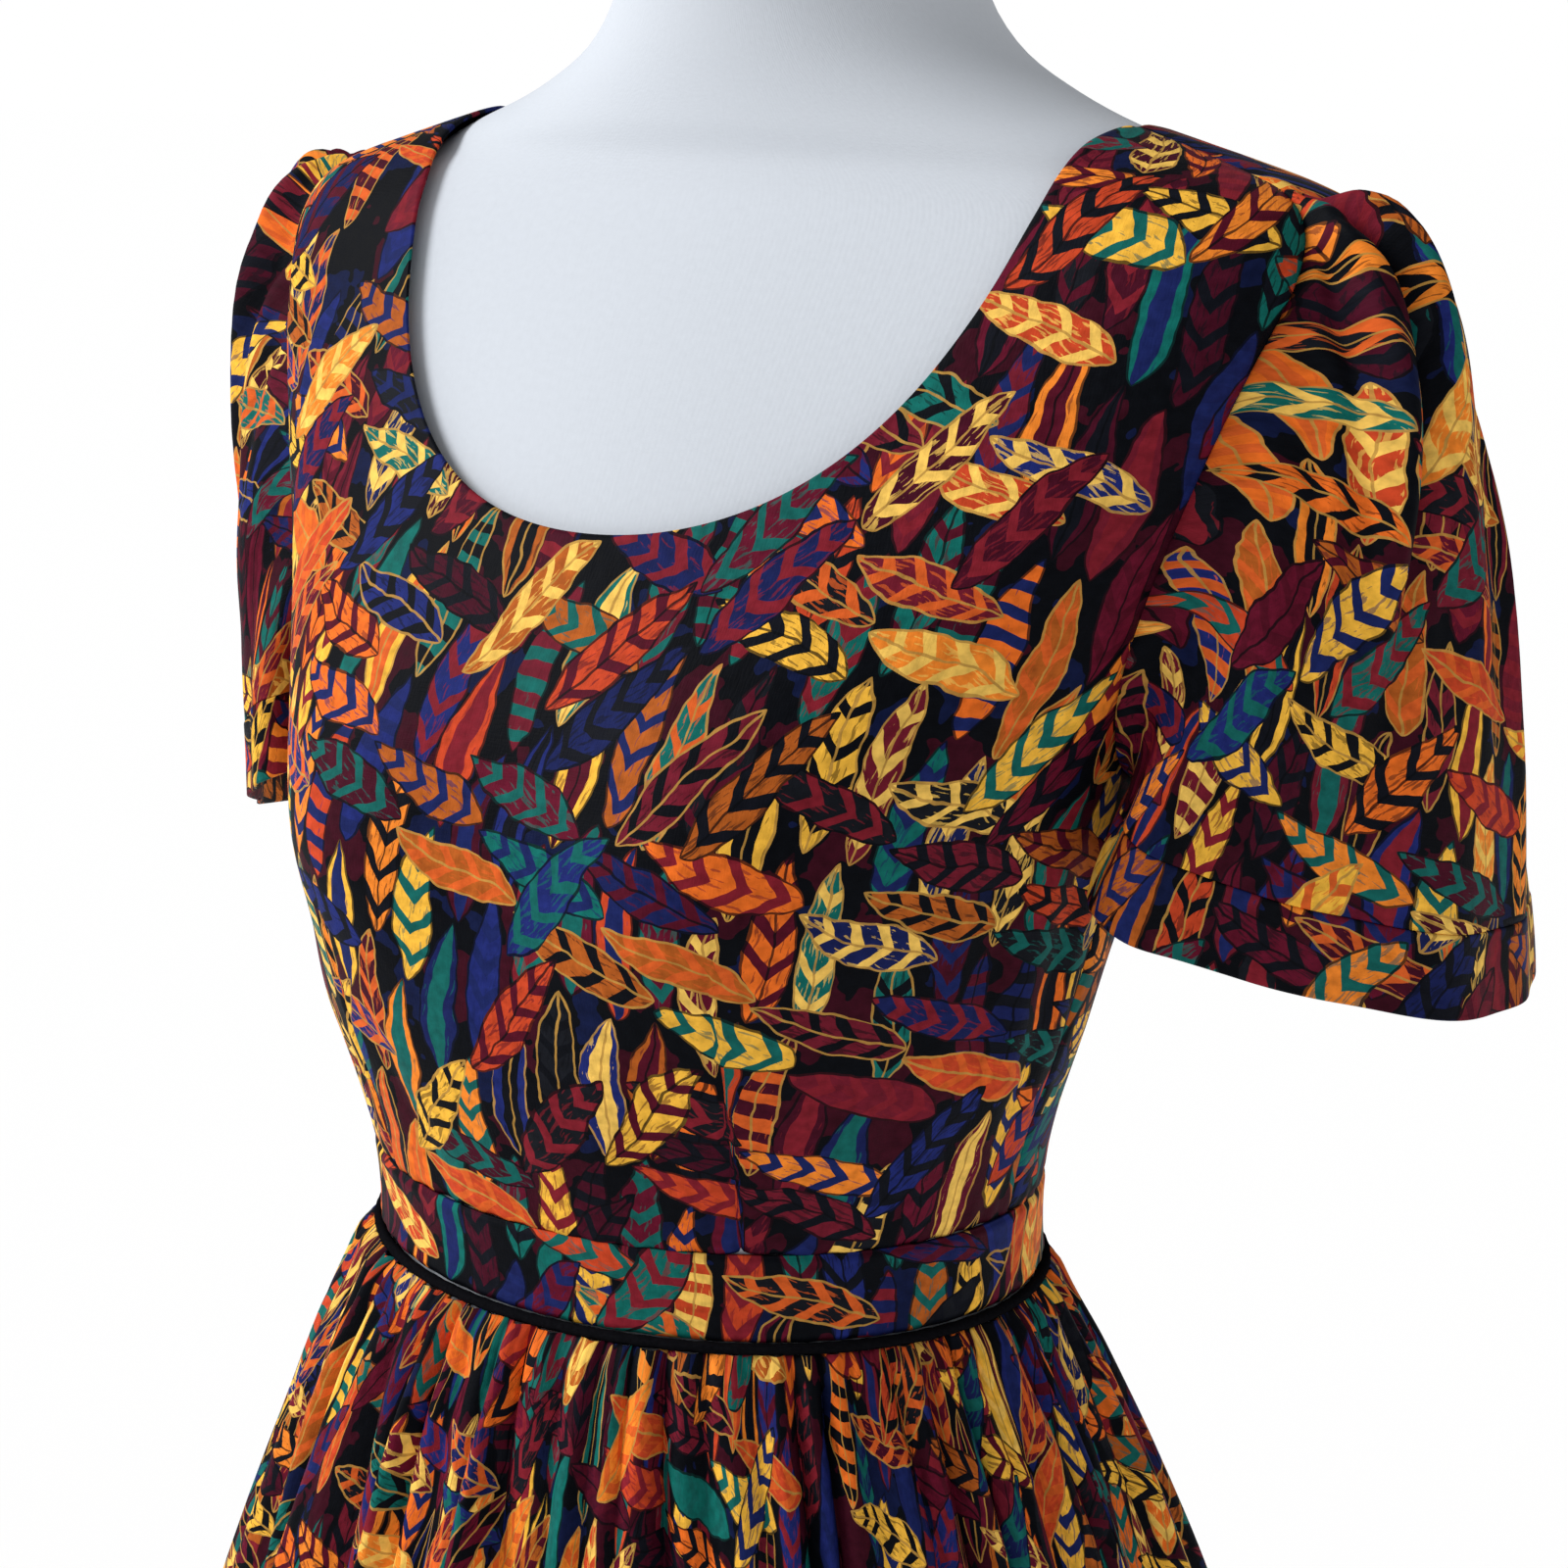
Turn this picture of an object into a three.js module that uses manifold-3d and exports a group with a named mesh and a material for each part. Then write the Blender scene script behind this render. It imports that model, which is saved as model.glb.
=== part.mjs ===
// Fit and flare dress worn by a limbless dress form on a pole with a round base.
// Millimetres, +Z up. The front of the dress faces -Y and the wearer's left side is +X.
// The origin is on the floor, at the middle of the base's underside.
//
// Every cloth panel is a thin closed wall. Its place on the figure is given by two numbers:
// an angle round the body (0 at the centre front, 90 degrees at the wearer's left side,
// 180 degrees at the centre back) and a distance up the side outline of the body.

import * as THREE from "three";
import { mergeVertices } from "three/addons/utils/BufferGeometryUtils.js";
import Module from "manifold-3d";

const wasm = await Module();
wasm.setup();

// Driving heights, from the floor
const HEM_Z = 445;
const SKIRT_TOP_Z = 1020.4;
const WAIST_SEAM_Z = 1025.5;
const BODICE_SEAM_Z = 1056;
const BUST_Z = 1178;
const UNDERARM_Z = 1204;
const SHOULDER_TIP_Z = 1384;
const NECK_POINT_Z = 1402;
const FRONT_NECK_Z = 1275;
const BACK_NECK_Z = 1352;

// Cloth and seams
const CLOTH = 1.4;
const BAND_CLOTH = 2.2;
const SEAM_GAP = 0.36;
const LEAST_EASE = 0.85;

const QUARTER = Math.PI / 2;
const degrees = THREE.MathUtils.degToRad;
const mix = THREE.MathUtils.lerp;
const smooth = THREE.MathUtils.smoothstep;

// The figure: half its width, and how far it reaches forward and back of its own middle line,
// at heights up the body. The middle line leans back towards the shoulders. A section is an
// oval that is drawn out a little, by its square value, at its four shoulders.
const FIGURE = [
  { z: 742, wide: 140, front: 97, back: 104, middle: 0, square: 0 },
  { z: 753, wide: 150, front: 105, back: 112, middle: 0, square: 0 },
  { z: 785, wide: 156, front: 110, back: 119, middle: 0, square: 0 },
  { z: 840, wide: 157, front: 112, back: 123, middle: -1, square: 0 },
  { z: 900, wide: 150, front: 109, back: 116, middle: -4, square: 0 },
  { z: 955, wide: 136, front: 104, back: 106, middle: -8, square: 0 },
  { z: 1000, wide: 121.5, front: 100, back: 99, middle: -10, square: 0 },
  { z: 1038, wide: 117, front: 99, back: 98, middle: -11, square: 0 },
  { z: 1077, wide: 122, front: 103, back: 97, middle: -13, square: 0 },
  { z: 1121, wide: 134, front: 112, back: 100, middle: -12, square: 0 },
  { z: 1160, wide: 141, front: 121, back: 105, middle: -3, square: 0.02 },
  { z: 1195, wide: 148, front: 125, back: 109, middle: 6, square: 0.05 },
  { z: 1230, wide: 156, front: 121, back: 111, middle: 13.5, square: 0.1 },
  { z: 1270, wide: 166, front: 108, back: 111, middle: 22, square: 0.17 },
  { z: 1305, wide: 175, front: 96, back: 108, middle: 28, square: 0.22 },
  { z: 1335, wide: 183, front: 84, back: 101, middle: 33, square: 0.24 },
  { z: 1356, wide: 189, front: 75, back: 91, middle: 37, square: 0.23 },
  { z: 1370, wide: 191, front: 69.5, back: 82, middle: 39.5, square: 0.19 },
  { z: 1379, wide: 188, front: 65, back: 74.5, middle: 40.5, square: 0.14 },
  { z: 1384.5, wide: 180, front: 63, back: 71.5, middle: 40.5, square: 0.09 },
  { z: 1390, wide: 164, front: 61.5, back: 70, middle: 40.5, square: 0.06 },
  { z: 1396, wide: 144, front: 60.5, back: 68, middle: 40, square: 0.03 },
  { z: 1402, wide: 123, front: 60, back: 66.5, middle: 39.5, square: 0 },
  { z: 1413, wide: 97, front: 59.5, back: 65, middle: 38.5, square: 0 },
  { z: 1427, wide: 75, front: 58.5, back: 63, middle: 36.5, square: 0 },
  { z: 1446, wide: 62, front: 57, back: 61, middle: 34, square: 0 },
  { z: 1480, wide: 57, front: 56, back: 59, middle: 30, square: 0 },
  { z: 1518, wide: 56, front: 55, back: 58, middle: 26, square: 0 },
];

// The skirt's mean surface below the waist: the same columns, with the depth of the fine
// gathers and of the wide folds that they run together into.
const SKIRT = [
  { z: SKIRT_TOP_Z, wide: 124.2, front: 106.6, back: 105, middle: -11, gather: 1.9, fold: 0 },
  { z: 1006, wide: 130, front: 112, back: 111, middle: -11, gather: 2.9, fold: 0.6 },
  { z: 984, wide: 141, front: 121, back: 121, middle: -10, gather: 3.4, fold: 2.2 },
  { z: 945, wide: 156, front: 134, back: 137, middle: -7, gather: 3.2, fold: 5 },
  { z: 880, wide: 178, front: 154, back: 160, middle: -3, gather: 1.9, fold: 9.5 },
  { z: 770, wide: 206, front: 183, back: 189, middle: 1, gather: 0.5, fold: 15 },
  { z: 610, wide: 237, front: 214, back: 220, middle: 3, gather: 0, fold: 20.5 },
  { z: HEM_Z, wide: 264, front: 241, back: 246, middle: 3, gather: 0, fold: 25 },
];
const GATHERS = 64;
const GATHER_COLUMNS = 3;
const FOLDS = 20;

// A smooth curve through the rows of a table, by the running length of its side outline.
function throughRows(rows) {
  const columns = Object.keys(rows[0]);
  const along = [0];
  for (let i = 1; i < rows.length; i++) {
    const rise = rows[i].z - rows[i - 1].z;
    const spread = rows[i].wide - rows[i - 1].wide;
    along.push(along[i - 1] + Math.hypot(rise, spread));
  }
  const slope = (i, column) => {
    const before = Math.max(i - 1, 0);
    const after = Math.min(i + 1, rows.length - 1);
    return (rows[after][column] - rows[before][column]) / (along[after] - along[before]);
  };
  const at = (t) => {
    let i = 0;
    while (i < rows.length - 2 && t > along[i + 1]) i++;
    const step = along[i + 1] - along[i];
    const s = (t - along[i]) / step;
    const row = {};
    for (const column of columns) {
      const start = rows[i][column];
      const end = rows[i + 1][column];
      row[column] =
        start * (2 * s ** 3 - 3 * s ** 2 + 1) +
        end * (3 * s ** 2 - 2 * s ** 3) +
        slope(i, column) * step * (s ** 3 - 2 * s ** 2 + s) +
        slope(i + 1, column) * step * (s ** 3 - s ** 2);
    }
    return row;
  };
  const length = along.at(-1);
  const upTo = (z) => {
    let low = 0;
    let high = length;
    const rising = rows.at(-1).z > rows[0].z;
    for (let i = 0; i < 40; i++) {
      const middle = (low + high) / 2;
      if (at(middle).z < z === rising) low = middle;
      else high = middle;
    }
    return (low + high) / 2;
  };
  return { at, upTo, length };
}

const figure = throughRows(FIGURE);
const skirt = throughRows(SKIRT);

// A point on a section, whose front and back halves have their own depths.
function onSection(row, angle, square = 0) {
  const depth = Math.cos(angle) > 0 ? row.front : row.back;
  const reach = 1 + square * (Math.sin(2 * angle) * Math.sin(angle)) ** 2;
  const x = reach * row.wide * Math.sin(angle);
  return new THREE.Vector3(x, row.middle - reach * depth * Math.cos(angle), row.z);
}
// The angle, within the front quarter, at which a section is x wide of the middle.
function angleAt(x, row) {
  let low = 0;
  let high = QUARTER;
  for (let i = 0; i < 40; i++) {
    const middle = (low + high) / 2;
    if (onSection(row, middle, row.square).x < x) low = middle;
    else high = middle;
  }
  return (low + high) / 2;
}

// How far the two cups stand out, with the cloth spanning between them.
const CUP = {
  out: 23.5,
  sideways: 0.25,
  angle: degrees(31),
  spread: degrees(23),
  above: 68,
  below: 46,
};
function cupAt(angle, z) {
  const height = (z - BUST_Z) / (z > BUST_Z ? CUP.above : CUP.below);
  const round = (centre) => Math.exp(-(((angle - centre) / CUP.spread) ** 2));
  return CUP.out * (round(CUP.angle) + round(-CUP.angle)) * Math.exp(-(height ** 2));
}

function onFigure(angle, t) {
  const row = figure.at(t);
  const point = onSection(row, angle, row.square);
  const cup = cupAt(angle, row.z);
  point.x += CUP.sideways * cup * Math.sin(angle);
  point.y -= cup * Math.cos(angle);
  return point;
}

// The outward direction of a surface at a place, from its slopes both ways.
function outward(surface, p, q, stepP, stepQ) {
  const across = surface(p + stepP, q).sub(surface(p - stepP, q));
  const up = surface(p, q + stepQ).sub(surface(p, q - stepQ));
  return across.cross(up).normalize();
}

// Cloth that lies on the figure. Ease is the air under it, most in the hollow under the bust.
const EASE = { underBust: 3.2, hollowZ: 1105, hollowTall: 34, loose: 1.6 };
function easeAt(angle, z) {
  const height = (z - EASE.hollowZ) / EASE.hollowTall;
  const hollow = Math.exp(-(height ** 2)) * Math.max(0, Math.cos(angle));
  const loose = smooth(z, 1060, 1120) * (1 - smooth(z, 1270, 1350));
  return LEAST_EASE + EASE.underBust * hollow + EASE.loose * loose;
}
function onCloth(angle, t, out) {
  const normal = outward(onFigure, angle, t, 0.004, 0.5);
  const z = figure.at(t).z;
  return onFigure(angle, t).addScaledVector(normal, easeAt(angle, z) + out);
}

// A closed mesh from a list of points and a list of triangles.
function solidFrom(points, triangles) {
  const geometry = new THREE.BufferGeometry();
  const numbers = points.flatMap((point) => point.toArray());
  geometry.setAttribute("position", new THREE.Float32BufferAttribute(numbers, 3));
  geometry.setIndex(triangles);
  geometry.computeVertexNormals();
  return geometry;
}

// A cloth wall. skin(u, v, layer) gives its inner face at layer 0 and its outer face at layer 1,
// u runs across it and v up it. A ring joins its last column to its first.
function wall(skin, across, up, ring = false) {
  const columns = ring ? across : across + 1;
  const points = [];
  for (const layer of [0, 1])
    for (let j = 0; j <= up; j++)
      for (let i = 0; i < columns; i++) points.push(skin(i / across, j / up, layer));
  const at = (layer, i, j) => (layer * (up + 1) + j) * columns + (i % columns);
  const triangles = [];
  const face = (a, b, c, d) => triangles.push(a, b, c, a, c, d);
  for (let i = 0; i < across; i++) {
    for (let j = 0; j < up; j++) {
      face(at(1, i, j), at(1, i + 1, j), at(1, i + 1, j + 1), at(1, i, j + 1));
      face(at(0, i, j), at(0, i, j + 1), at(0, i + 1, j + 1), at(0, i + 1, j));
    }
    face(at(0, i, 0), at(0, i + 1, 0), at(1, i + 1, 0), at(1, i, 0));
    face(at(1, i, up), at(1, i + 1, up), at(0, i + 1, up), at(0, i, up));
  }
  if (!ring)
    for (let j = 0; j < up; j++) {
      face(at(0, 0, j), at(1, 0, j), at(1, 0, j + 1), at(0, 0, j + 1));
      face(at(1, across, j), at(0, across, j), at(0, across, j + 1), at(1, across, j + 1));
    }
  return solidFrom(points, triangles);
}

// The same piece on the other side of the body.
function mirrored(geometry) {
  const copy = geometry.clone();
  const position = copy.getAttribute("position");
  for (let i = 0; i < position.count; i++) position.setX(i, -position.getX(i));
  const index = copy.getIndex();
  for (let i = 0; i < index.count; i += 3) {
    const second = index.getX(i + 1);
    index.setX(i + 1, index.getX(i + 2));
    index.setX(i + 2, second);
  }
  copy.computeVertexNormals();
  return copy;
}

// Outlines of the bodice panels, for the wearer's left half. Each gives [angle, distance up].
const waistT = figure.upTo(BODICE_SEAM_Z + SEAM_GAP / 2);
const underarmT = figure.upTo(UNDERARM_Z);
const tipT = figure.upTo(SHOULDER_TIP_Z);
const neckT = figure.upTo(NECK_POINT_Z);

function bezier(points, s) {
  const r = 1 - s;
  const weights = [r ** 3, 3 * r * r * s, 3 * r * s * s, s ** 3];
  return [0, 1].map((k) => points.reduce((sum, point, i) => sum + weights[i] * point[k], 0));
}

// The armhole, from the underarm at 0 up to the shoulder tip at 1. The shoulder seam starts a
// little in front of the body's side line and meets it at the neck.
const TIP_ANGLE = degrees(78);
const FRONT_ARMHOLE = { low: degrees(63), high: degrees(59), highZ: 1356, seam: -1 };
const BACK_ARMHOLE = { low: degrees(121), high: degrees(118), highZ: 1358, seam: 1 };
const ARMHOLE_DIP = 3;
function armhole(side, s) {
  const start = [QUARTER, underarmT];
  const low = [side.low, underarmT - ARMHOLE_DIP];
  const high = [side.high, figure.upTo(side.highZ)];
  return bezier([start, low, high, [TIP_ANGLE, tipT]], s);
}

// The neckline is drawn as seen from the front, x against z, and then wrapped onto the body.
const FRONT_NECK = { lowX: 74, lowZ: FRONT_NECK_Z, highX: 114, highZ: 1322 };
const BACK_NECK = { lowX: 78, lowZ: BACK_NECK_Z, highX: 116, highZ: 1362 };
function neckline(side, s) {
  const top = [figure.at(neckT).wide, NECK_POINT_Z];
  const drawn = bezier([[0, side.lowZ], [side.lowX, side.lowZ], [side.highX, side.highZ], top], s);
  const t = figure.upTo(drawn[1]);
  const angle = s < 1 ? angleAt(drawn[0], figure.at(t)) : QUARTER;
  return [side === FRONT_NECK ? angle : Math.PI - angle, t];
}

// The share of a curve's run at which a share of its length has passed.
function evenly(curve, steps) {
  const lengths = [0];
  let last = curve(0);
  for (let i = 1; i <= steps; i++) {
    const next = curve(i / steps);
    lengths.push(lengths[i - 1] + next.distanceTo(last));
    last = next;
  }
  const total = lengths[steps];
  const placeAt = (length) => {
    let i = 0;
    while (i < steps - 1 && length > lengths[i + 1]) i++;
    return (i + (length - lengths[i]) / (lengths[i + 1] - lengths[i])) / steps;
  };
  return { total, placeAt };
}
const NECK_STEPS = 80;
for (const side of [FRONT_NECK, BACK_NECK])
  side.line = evenly((s) => onFigure(...neckline(side, s)), NECK_STEPS);

// The side edge of a bodice panel: side seam, armhole and shoulder seam, each a share of the rows.
const SIDE_ROWS = 5;
const ARMHOLE_ROWS = 7;
const SHOULDER_ROWS = 3;
const BODICE_ROWS = SIDE_ROWS + ARMHOLE_ROWS + SHOULDER_ROWS;
const SIDE_SHARE = SIDE_ROWS / BODICE_ROWS;
const ARMHOLE_SHARE = (SIDE_ROWS + ARMHOLE_ROWS) / BODICE_ROWS;
function sideEdge(side, v) {
  if (v > SIDE_SHARE && v < ARMHOLE_SHARE)
    return armhole(side, (v - SIDE_SHARE) / (ARMHOLE_SHARE - SIDE_SHARE));
  const low = v <= SIDE_SHARE;
  const s = low ? v / SIDE_SHARE : (v - ARMHOLE_SHARE) / (1 - ARMHOLE_SHARE);
  const t = low ? mix(waistT, underarmT, s) : mix(tipT, neckT, s);
  const seam = low ? QUARTER : mix(TIP_ANGLE, QUARTER, s);
  return [seam + (side.seam * SEAM_GAP) / 2 / figure.at(t).front, t];
}

// Fills a half panel between its centre line, waist, side edge and neckline. Its rows are level
// at the waist and take on the neckline's curve as they rise.
function halfPanel(armSide, neckSide, centre, u, v) {
  const side = sideEdge(armSide, v);
  const neck = neckline(neckSide, u < 1 ? neckSide.line.placeAt(u * neckSide.line.total) : 1);
  const lowest = neckline(neckSide, 0)[1];
  const curved = v ** 1.5;
  const across = mix(u, (neck[0] - centre) / (QUARTER - centre), curved);
  const rise = mix(u, (neck[1] - lowest) / (neckT - lowest), curved);
  return [mix(centre, side[0], across), mix(mix(waistT, lowest, v), side[1], rise)];
}

// A waist dart is a shallow groove from the waist seam to just short of the bust point.
const DART = { waistX: 69, topX: 74, topZ: BUST_Z - 8, deep: 0.9, half: 5, fade: 0.6 };
function dartAt(angle, t) {
  const row = figure.at(t);
  if (row.z > DART.topZ) return 0;
  const rise = (row.z - BODICE_SEAM_Z) / (DART.topZ - BODICE_SEAM_Z);
  const off = row.wide * Math.sin(angle) - mix(DART.waistX, DART.topX, rise);
  return DART.deep * Math.max(0, 1 - Math.abs(off) / DART.half) * (1 - rise * DART.fade);
}

const FRONT_COLUMNS = 26;
const bodiceFront = wall(
  (u, v, layer) => {
    const half = Math.abs(2 * u - 1);
    const sign = u < 0.5 ? -1 : 1;
    const [angle, t] = halfPanel(FRONT_ARMHOLE, FRONT_NECK, 0, half, v);
    return onCloth(sign * angle, t, layer * CLOTH - dartAt(angle, t));
  },
  FRONT_COLUMNS,
  BODICE_ROWS,
);

const BACK_COLUMNS = 12;
const bodiceBackLeft = wall(
  (u, v, layer) => {
    const [angle, t] = halfPanel(BACK_ARMHOLE, BACK_NECK, Math.PI, 1 - u, v);
    const centreGap = SEAM_GAP / 2 / figure.at(t).wide;
    return onCloth(Math.min(angle, Math.PI - centreGap), t, layer * CLOTH);
  },
  BACK_COLUMNS,
  BODICE_ROWS,
);

// A band that follows the figure between two heights, from one angle to another.
function band(fromAngle, toAngle, lowZ, highZ, across) {
  const low = figure.upTo(lowZ + SEAM_GAP / 2);
  const high = figure.upTo(highZ - SEAM_GAP / 2);
  return wall(
    (u, v, layer) => {
      const t = mix(low, high, v);
      const gap = SEAM_GAP / 2 / figure.at(t).front;
      return onCloth(mix(fromAngle + gap, toAngle - gap, u), t, layer * BAND_CLOTH);
    },
    across,
    1,
  );
}
const bandFront = band(-QUARTER, QUARTER, WAIST_SEAM_Z, BODICE_SEAM_Z, 26);
const bandBackLeft = band(QUARTER, Math.PI, WAIST_SEAM_Z, BODICE_SEAM_Z, 13);

// Piping between the waistband and the skirt: a cord covered in the same cloth, open at the zip.
const PIPING = { round: 2.25, centreZ: 1022.9, out: 3.1, sides: 5, steps: 56 };
function waistPiping() {
  const t = figure.upTo(PIPING.centreZ);
  const gap = SEAM_GAP / figure.at(t).wide;
  const points = [];
  for (let i = 0; i <= PIPING.steps; i++) {
    const angle = mix(-Math.PI + gap, Math.PI - gap, i / PIPING.steps);
    const centre = onCloth(angle, t, PIPING.out);
    const away = centre.clone().sub(onCloth(angle, t, 0)).setZ(0).normalize();
    for (let k = 0; k < PIPING.sides; k++) {
      const turn = (2 * Math.PI * k) / PIPING.sides;
      const point = centre.clone().addScaledVector(away, PIPING.round * Math.cos(turn));
      point.z += PIPING.round * Math.sin(turn);
      points.push(point);
    }
  }
  const triangles = [];
  const at = (i, k) => i * PIPING.sides + (k % PIPING.sides);
  for (let i = 0; i < PIPING.steps; i++)
    for (let k = 0; k < PIPING.sides; k++) {
      triangles.push(at(i, k), at(i + 1, k), at(i + 1, k + 1));
      triangles.push(at(i, k), at(i + 1, k + 1), at(i, k + 1));
    }
  for (let k = 1; k < PIPING.sides - 1; k++) {
    triangles.push(at(0, 0), at(0, k), at(0, k + 1));
    triangles.push(at(PIPING.steps, 0), at(PIPING.steps, k + 1), at(PIPING.steps, k));
  }
  return solidFrom(points, triangles);
}

// The skirt's middle surface. Gathers stand close at the waist and merge into wide folds below.
function onSkirt(angle, t) {
  const row = skirt.at(t);
  const uneven = 0.9 * Math.sin(3 * angle + 1) + 0.6 * Math.sin(5 * angle + 0.4);
  const drift = 0.5 * Math.sin(7 * angle + 2);
  const gather = row.gather * Math.cos(GATHERS * angle + 0.6 * uneven);
  const size = 0.78 + 0.22 * Math.sin(4 * angle + 0.7 * uneven);
  const fold = row.fold * size * Math.cos(FOLDS * angle + uneven + drift);
  const point = onSection(row, angle);
  const away = new THREE.Vector3(Math.sin(angle), -Math.cos(angle), 0);
  return point.addScaledVector(away, gather + fold);
}
function skirtPanel(fromAngle, toAngle, across) {
  const heights = SKIRT.map((row) => skirt.upTo(row.z)).reverse();
  return wall(
    (u, v, layer) => {
      const t = heights[Math.round(v * (heights.length - 1))];
      const gap = SEAM_GAP / 2 / skirt.at(t).front;
      const angle = mix(fromAngle + gap, toAngle - gap, u);
      const normal = outward(onSkirt, angle, t, 0.003, 0.6).negate();
      return onSkirt(angle, t).addScaledVector(normal, (layer - 0.5) * CLOTH);
    },
    across,
    SKIRT.length - 1,
  );
}
const skirtColumns = GATHERS * GATHER_COLUMNS;
const skirtFront = skirtPanel(-QUARTER, QUARTER, skirtColumns / 2);
const skirtBackLeft = skirtPanel(QUARTER, Math.PI, skirtColumns / 4);
const skirtBackRight = skirtPanel(-Math.PI, -QUARTER, skirtColumns / 4);

// The left sleeve runs from the armhole, round the arm from the underarm (0) by the front
// (a quarter) over the top (a half) and down the back, to an oval hem that hangs below.
// The hem is flattened, as an empty sleeve hangs: its long way runs from front to back and its
// outer back end is the lowest.
const HEM = {
  x: 203,
  y: 36,
  z: 1150,
  long: 87.5,
  short: 32,
  turn: degrees(62),
  drop: 20,
  twist: -14,
};
// How strongly the cloth sets off from the seam, and falls at the hem, under the arm and on top.
const SET_OFF = { under: 30, top: 250, leanUnder: 0.12, keepForward: 0.3, liftTip: 3 };
const FALL = { under: 40, top: 170, sideways: -0.2, forward: 0.1 };
const CAP = { gathers: 6, from: 0.3, to: 0.7, deep: 1.6, atSeam: 0.7 };
const CAP_FOLDS = [
  { at: 0.44, half: 0.03, deep: 5 },
  { at: 0.35, half: 0.026, deep: 3 },
  { at: 0.57, half: 0.03, deep: 4.5 },
  { at: 0.65, half: 0.026, deep: 3 },
];
const HEM_WAVE = { count: 4, deep: 3.4, shift: 0.8 };

function armholePoint(round, out) {
  const turn = round - Math.floor(round);
  const front = turn <= 0.5;
  const s = front ? turn * 2 : (1 - turn) * 2;
  const [angle, t] = armhole(front ? FRONT_ARMHOLE : BACK_ARMHOLE, s);
  return onCloth(angle, t, out);
}
// The bodice's own edge, which runs straight between its rows.
function bodiceEdge(round, out) {
  const place = round * 2 * ARMHOLE_ROWS;
  const row = Math.floor(place);
  const from = armholePoint(row / (2 * ARMHOLE_ROWS), out);
  const to = armholePoint((row + 1) / (2 * ARMHOLE_ROWS), out);
  return from.lerp(to, place - row);
}

// The bodice's outward direction at its edge, and the direction across the hole, both taken
// over a stretch of the edge.
function seamFrame(round, stretch) {
  const normal = new THREE.Vector3();
  for (const place of [round - stretch, round + stretch])
    normal.add(armholePoint(place, CLOTH)).sub(armholePoint(place, 0));
  const along = armholePoint(round + stretch, 0).sub(armholePoint(round - stretch, 0));
  normal.normalize();
  return { normal, inHole: along.cross(normal).normalize() };
}

// Where the sleeve starts, and the way its cloth sets off from the seam. Over the shoulder tip
// that way turns slowly, although the seam has a corner there.
const NEAR_STRETCH = 0.004;
const TIP_STRETCH = 0.05;
function sleeveStart(round) {
  const cap = Math.sin(Math.PI * round) ** 2;
  const near = seamFrame(round, NEAR_STRETCH);
  const stretch = mix(NEAR_STRETCH, TIP_STRETCH, cap ** 4);
  const far = seamFrame(round, stretch);
  const lean = mix(SET_OFF.leanUnder, 1, smooth(cap, 0, 0.55));
  const lift = mix(1, SET_OFF.liftTip, cap ** 4);
  const set = far.inHole.multiplyScalar(lean).addScaledVector(far.normal, lift);
  set.y *= mix(1, SET_OFF.keepForward, cap);
  set.normalize();
  const clear = SEAM_GAP + 0.3 + CLOTH * 0.5 * Math.abs(set.dot(near.normal));
  const centre = bodiceEdge(round, CLOTH / 2).addScaledVector(near.inHole, clear);
  const eased = armholePoint(round, CLOTH / 2).multiplyScalar(2);
  eased.add(armholePoint(round - stretch, CLOTH / 2)).add(armholePoint(round + stretch, CLOTH / 2));
  eased.divideScalar(4).addScaledVector(near.inHole, clear);
  return { centre, eased, set, cap };
}

function onSleeve(round, w) {
  const { centre, eased, set, cap } = sleeveStart(round);
  centre.lerp(eased, smooth(w, 0, 0.1));
  const turn = 2 * Math.PI * round;
  const phase = turn - HEM.turn;
  const alongHem = -HEM.long * Math.cos(phase);
  const acrossHem = -HEM.short * Math.sin(phase);
  const end = new THREE.Vector3(
    HEM.x + alongHem * Math.cos(HEM.turn) - acrossHem * Math.sin(HEM.turn),
    HEM.y + alongHem * Math.sin(HEM.turn) + acrossHem * Math.cos(HEM.turn),
    HEM.z + HEM.drop * Math.cos(phase) + HEM.twist * Math.sin(phase),
  );
  const falls = new THREE.Vector3(FALL.sideways * Math.cos(turn), FALL.forward * Math.sin(turn), -1);
  return new THREE.Vector3()
    .addScaledVector(centre, 2 * w ** 3 - 3 * w ** 2 + 1)
    .addScaledVector(end, 3 * w ** 2 - 2 * w ** 3)
    .addScaledVector(set, mix(SET_OFF.under, SET_OFF.top, cap) * (w ** 3 - 2 * w ** 2 + w))
    .addScaledVector(falls, mix(FALL.under, FALL.top, cap) * (w ** 3 - w ** 2));
}

// Gathers at the cap, the long folds below them and a slow wave near the hem.
function sleeveRelief(round, w) {
  const near = smooth(round, CAP.from, CAP.from + 0.06) * (1 - smooth(round, CAP.to - 0.06, CAP.to));
  const count = CAP.gathers / (CAP.to - CAP.from);
  const deep = mix(CAP.atSeam, CAP.deep, smooth(w, 0, 0.07)) * (1 - smooth(w, 0.12, 0.36));
  let relief = near * deep * Math.cos(2 * Math.PI * count * (round - 0.5));
  for (const fold of CAP_FOLDS) {
    const off = (round - fold.at) / (fold.half * (1 + 2 * w));
    relief -= fold.deep * smooth(w, 0, 0.12) * (1 - smooth(w, 0.2, 0.62)) * Math.exp(-off * off);
  }
  const wave = Math.cos(2 * Math.PI * HEM_WAVE.count * round + HEM_WAVE.shift);
  return relief + HEM_WAVE.deep * smooth(w, 0.35, 0.95) * wave;
}
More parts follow.
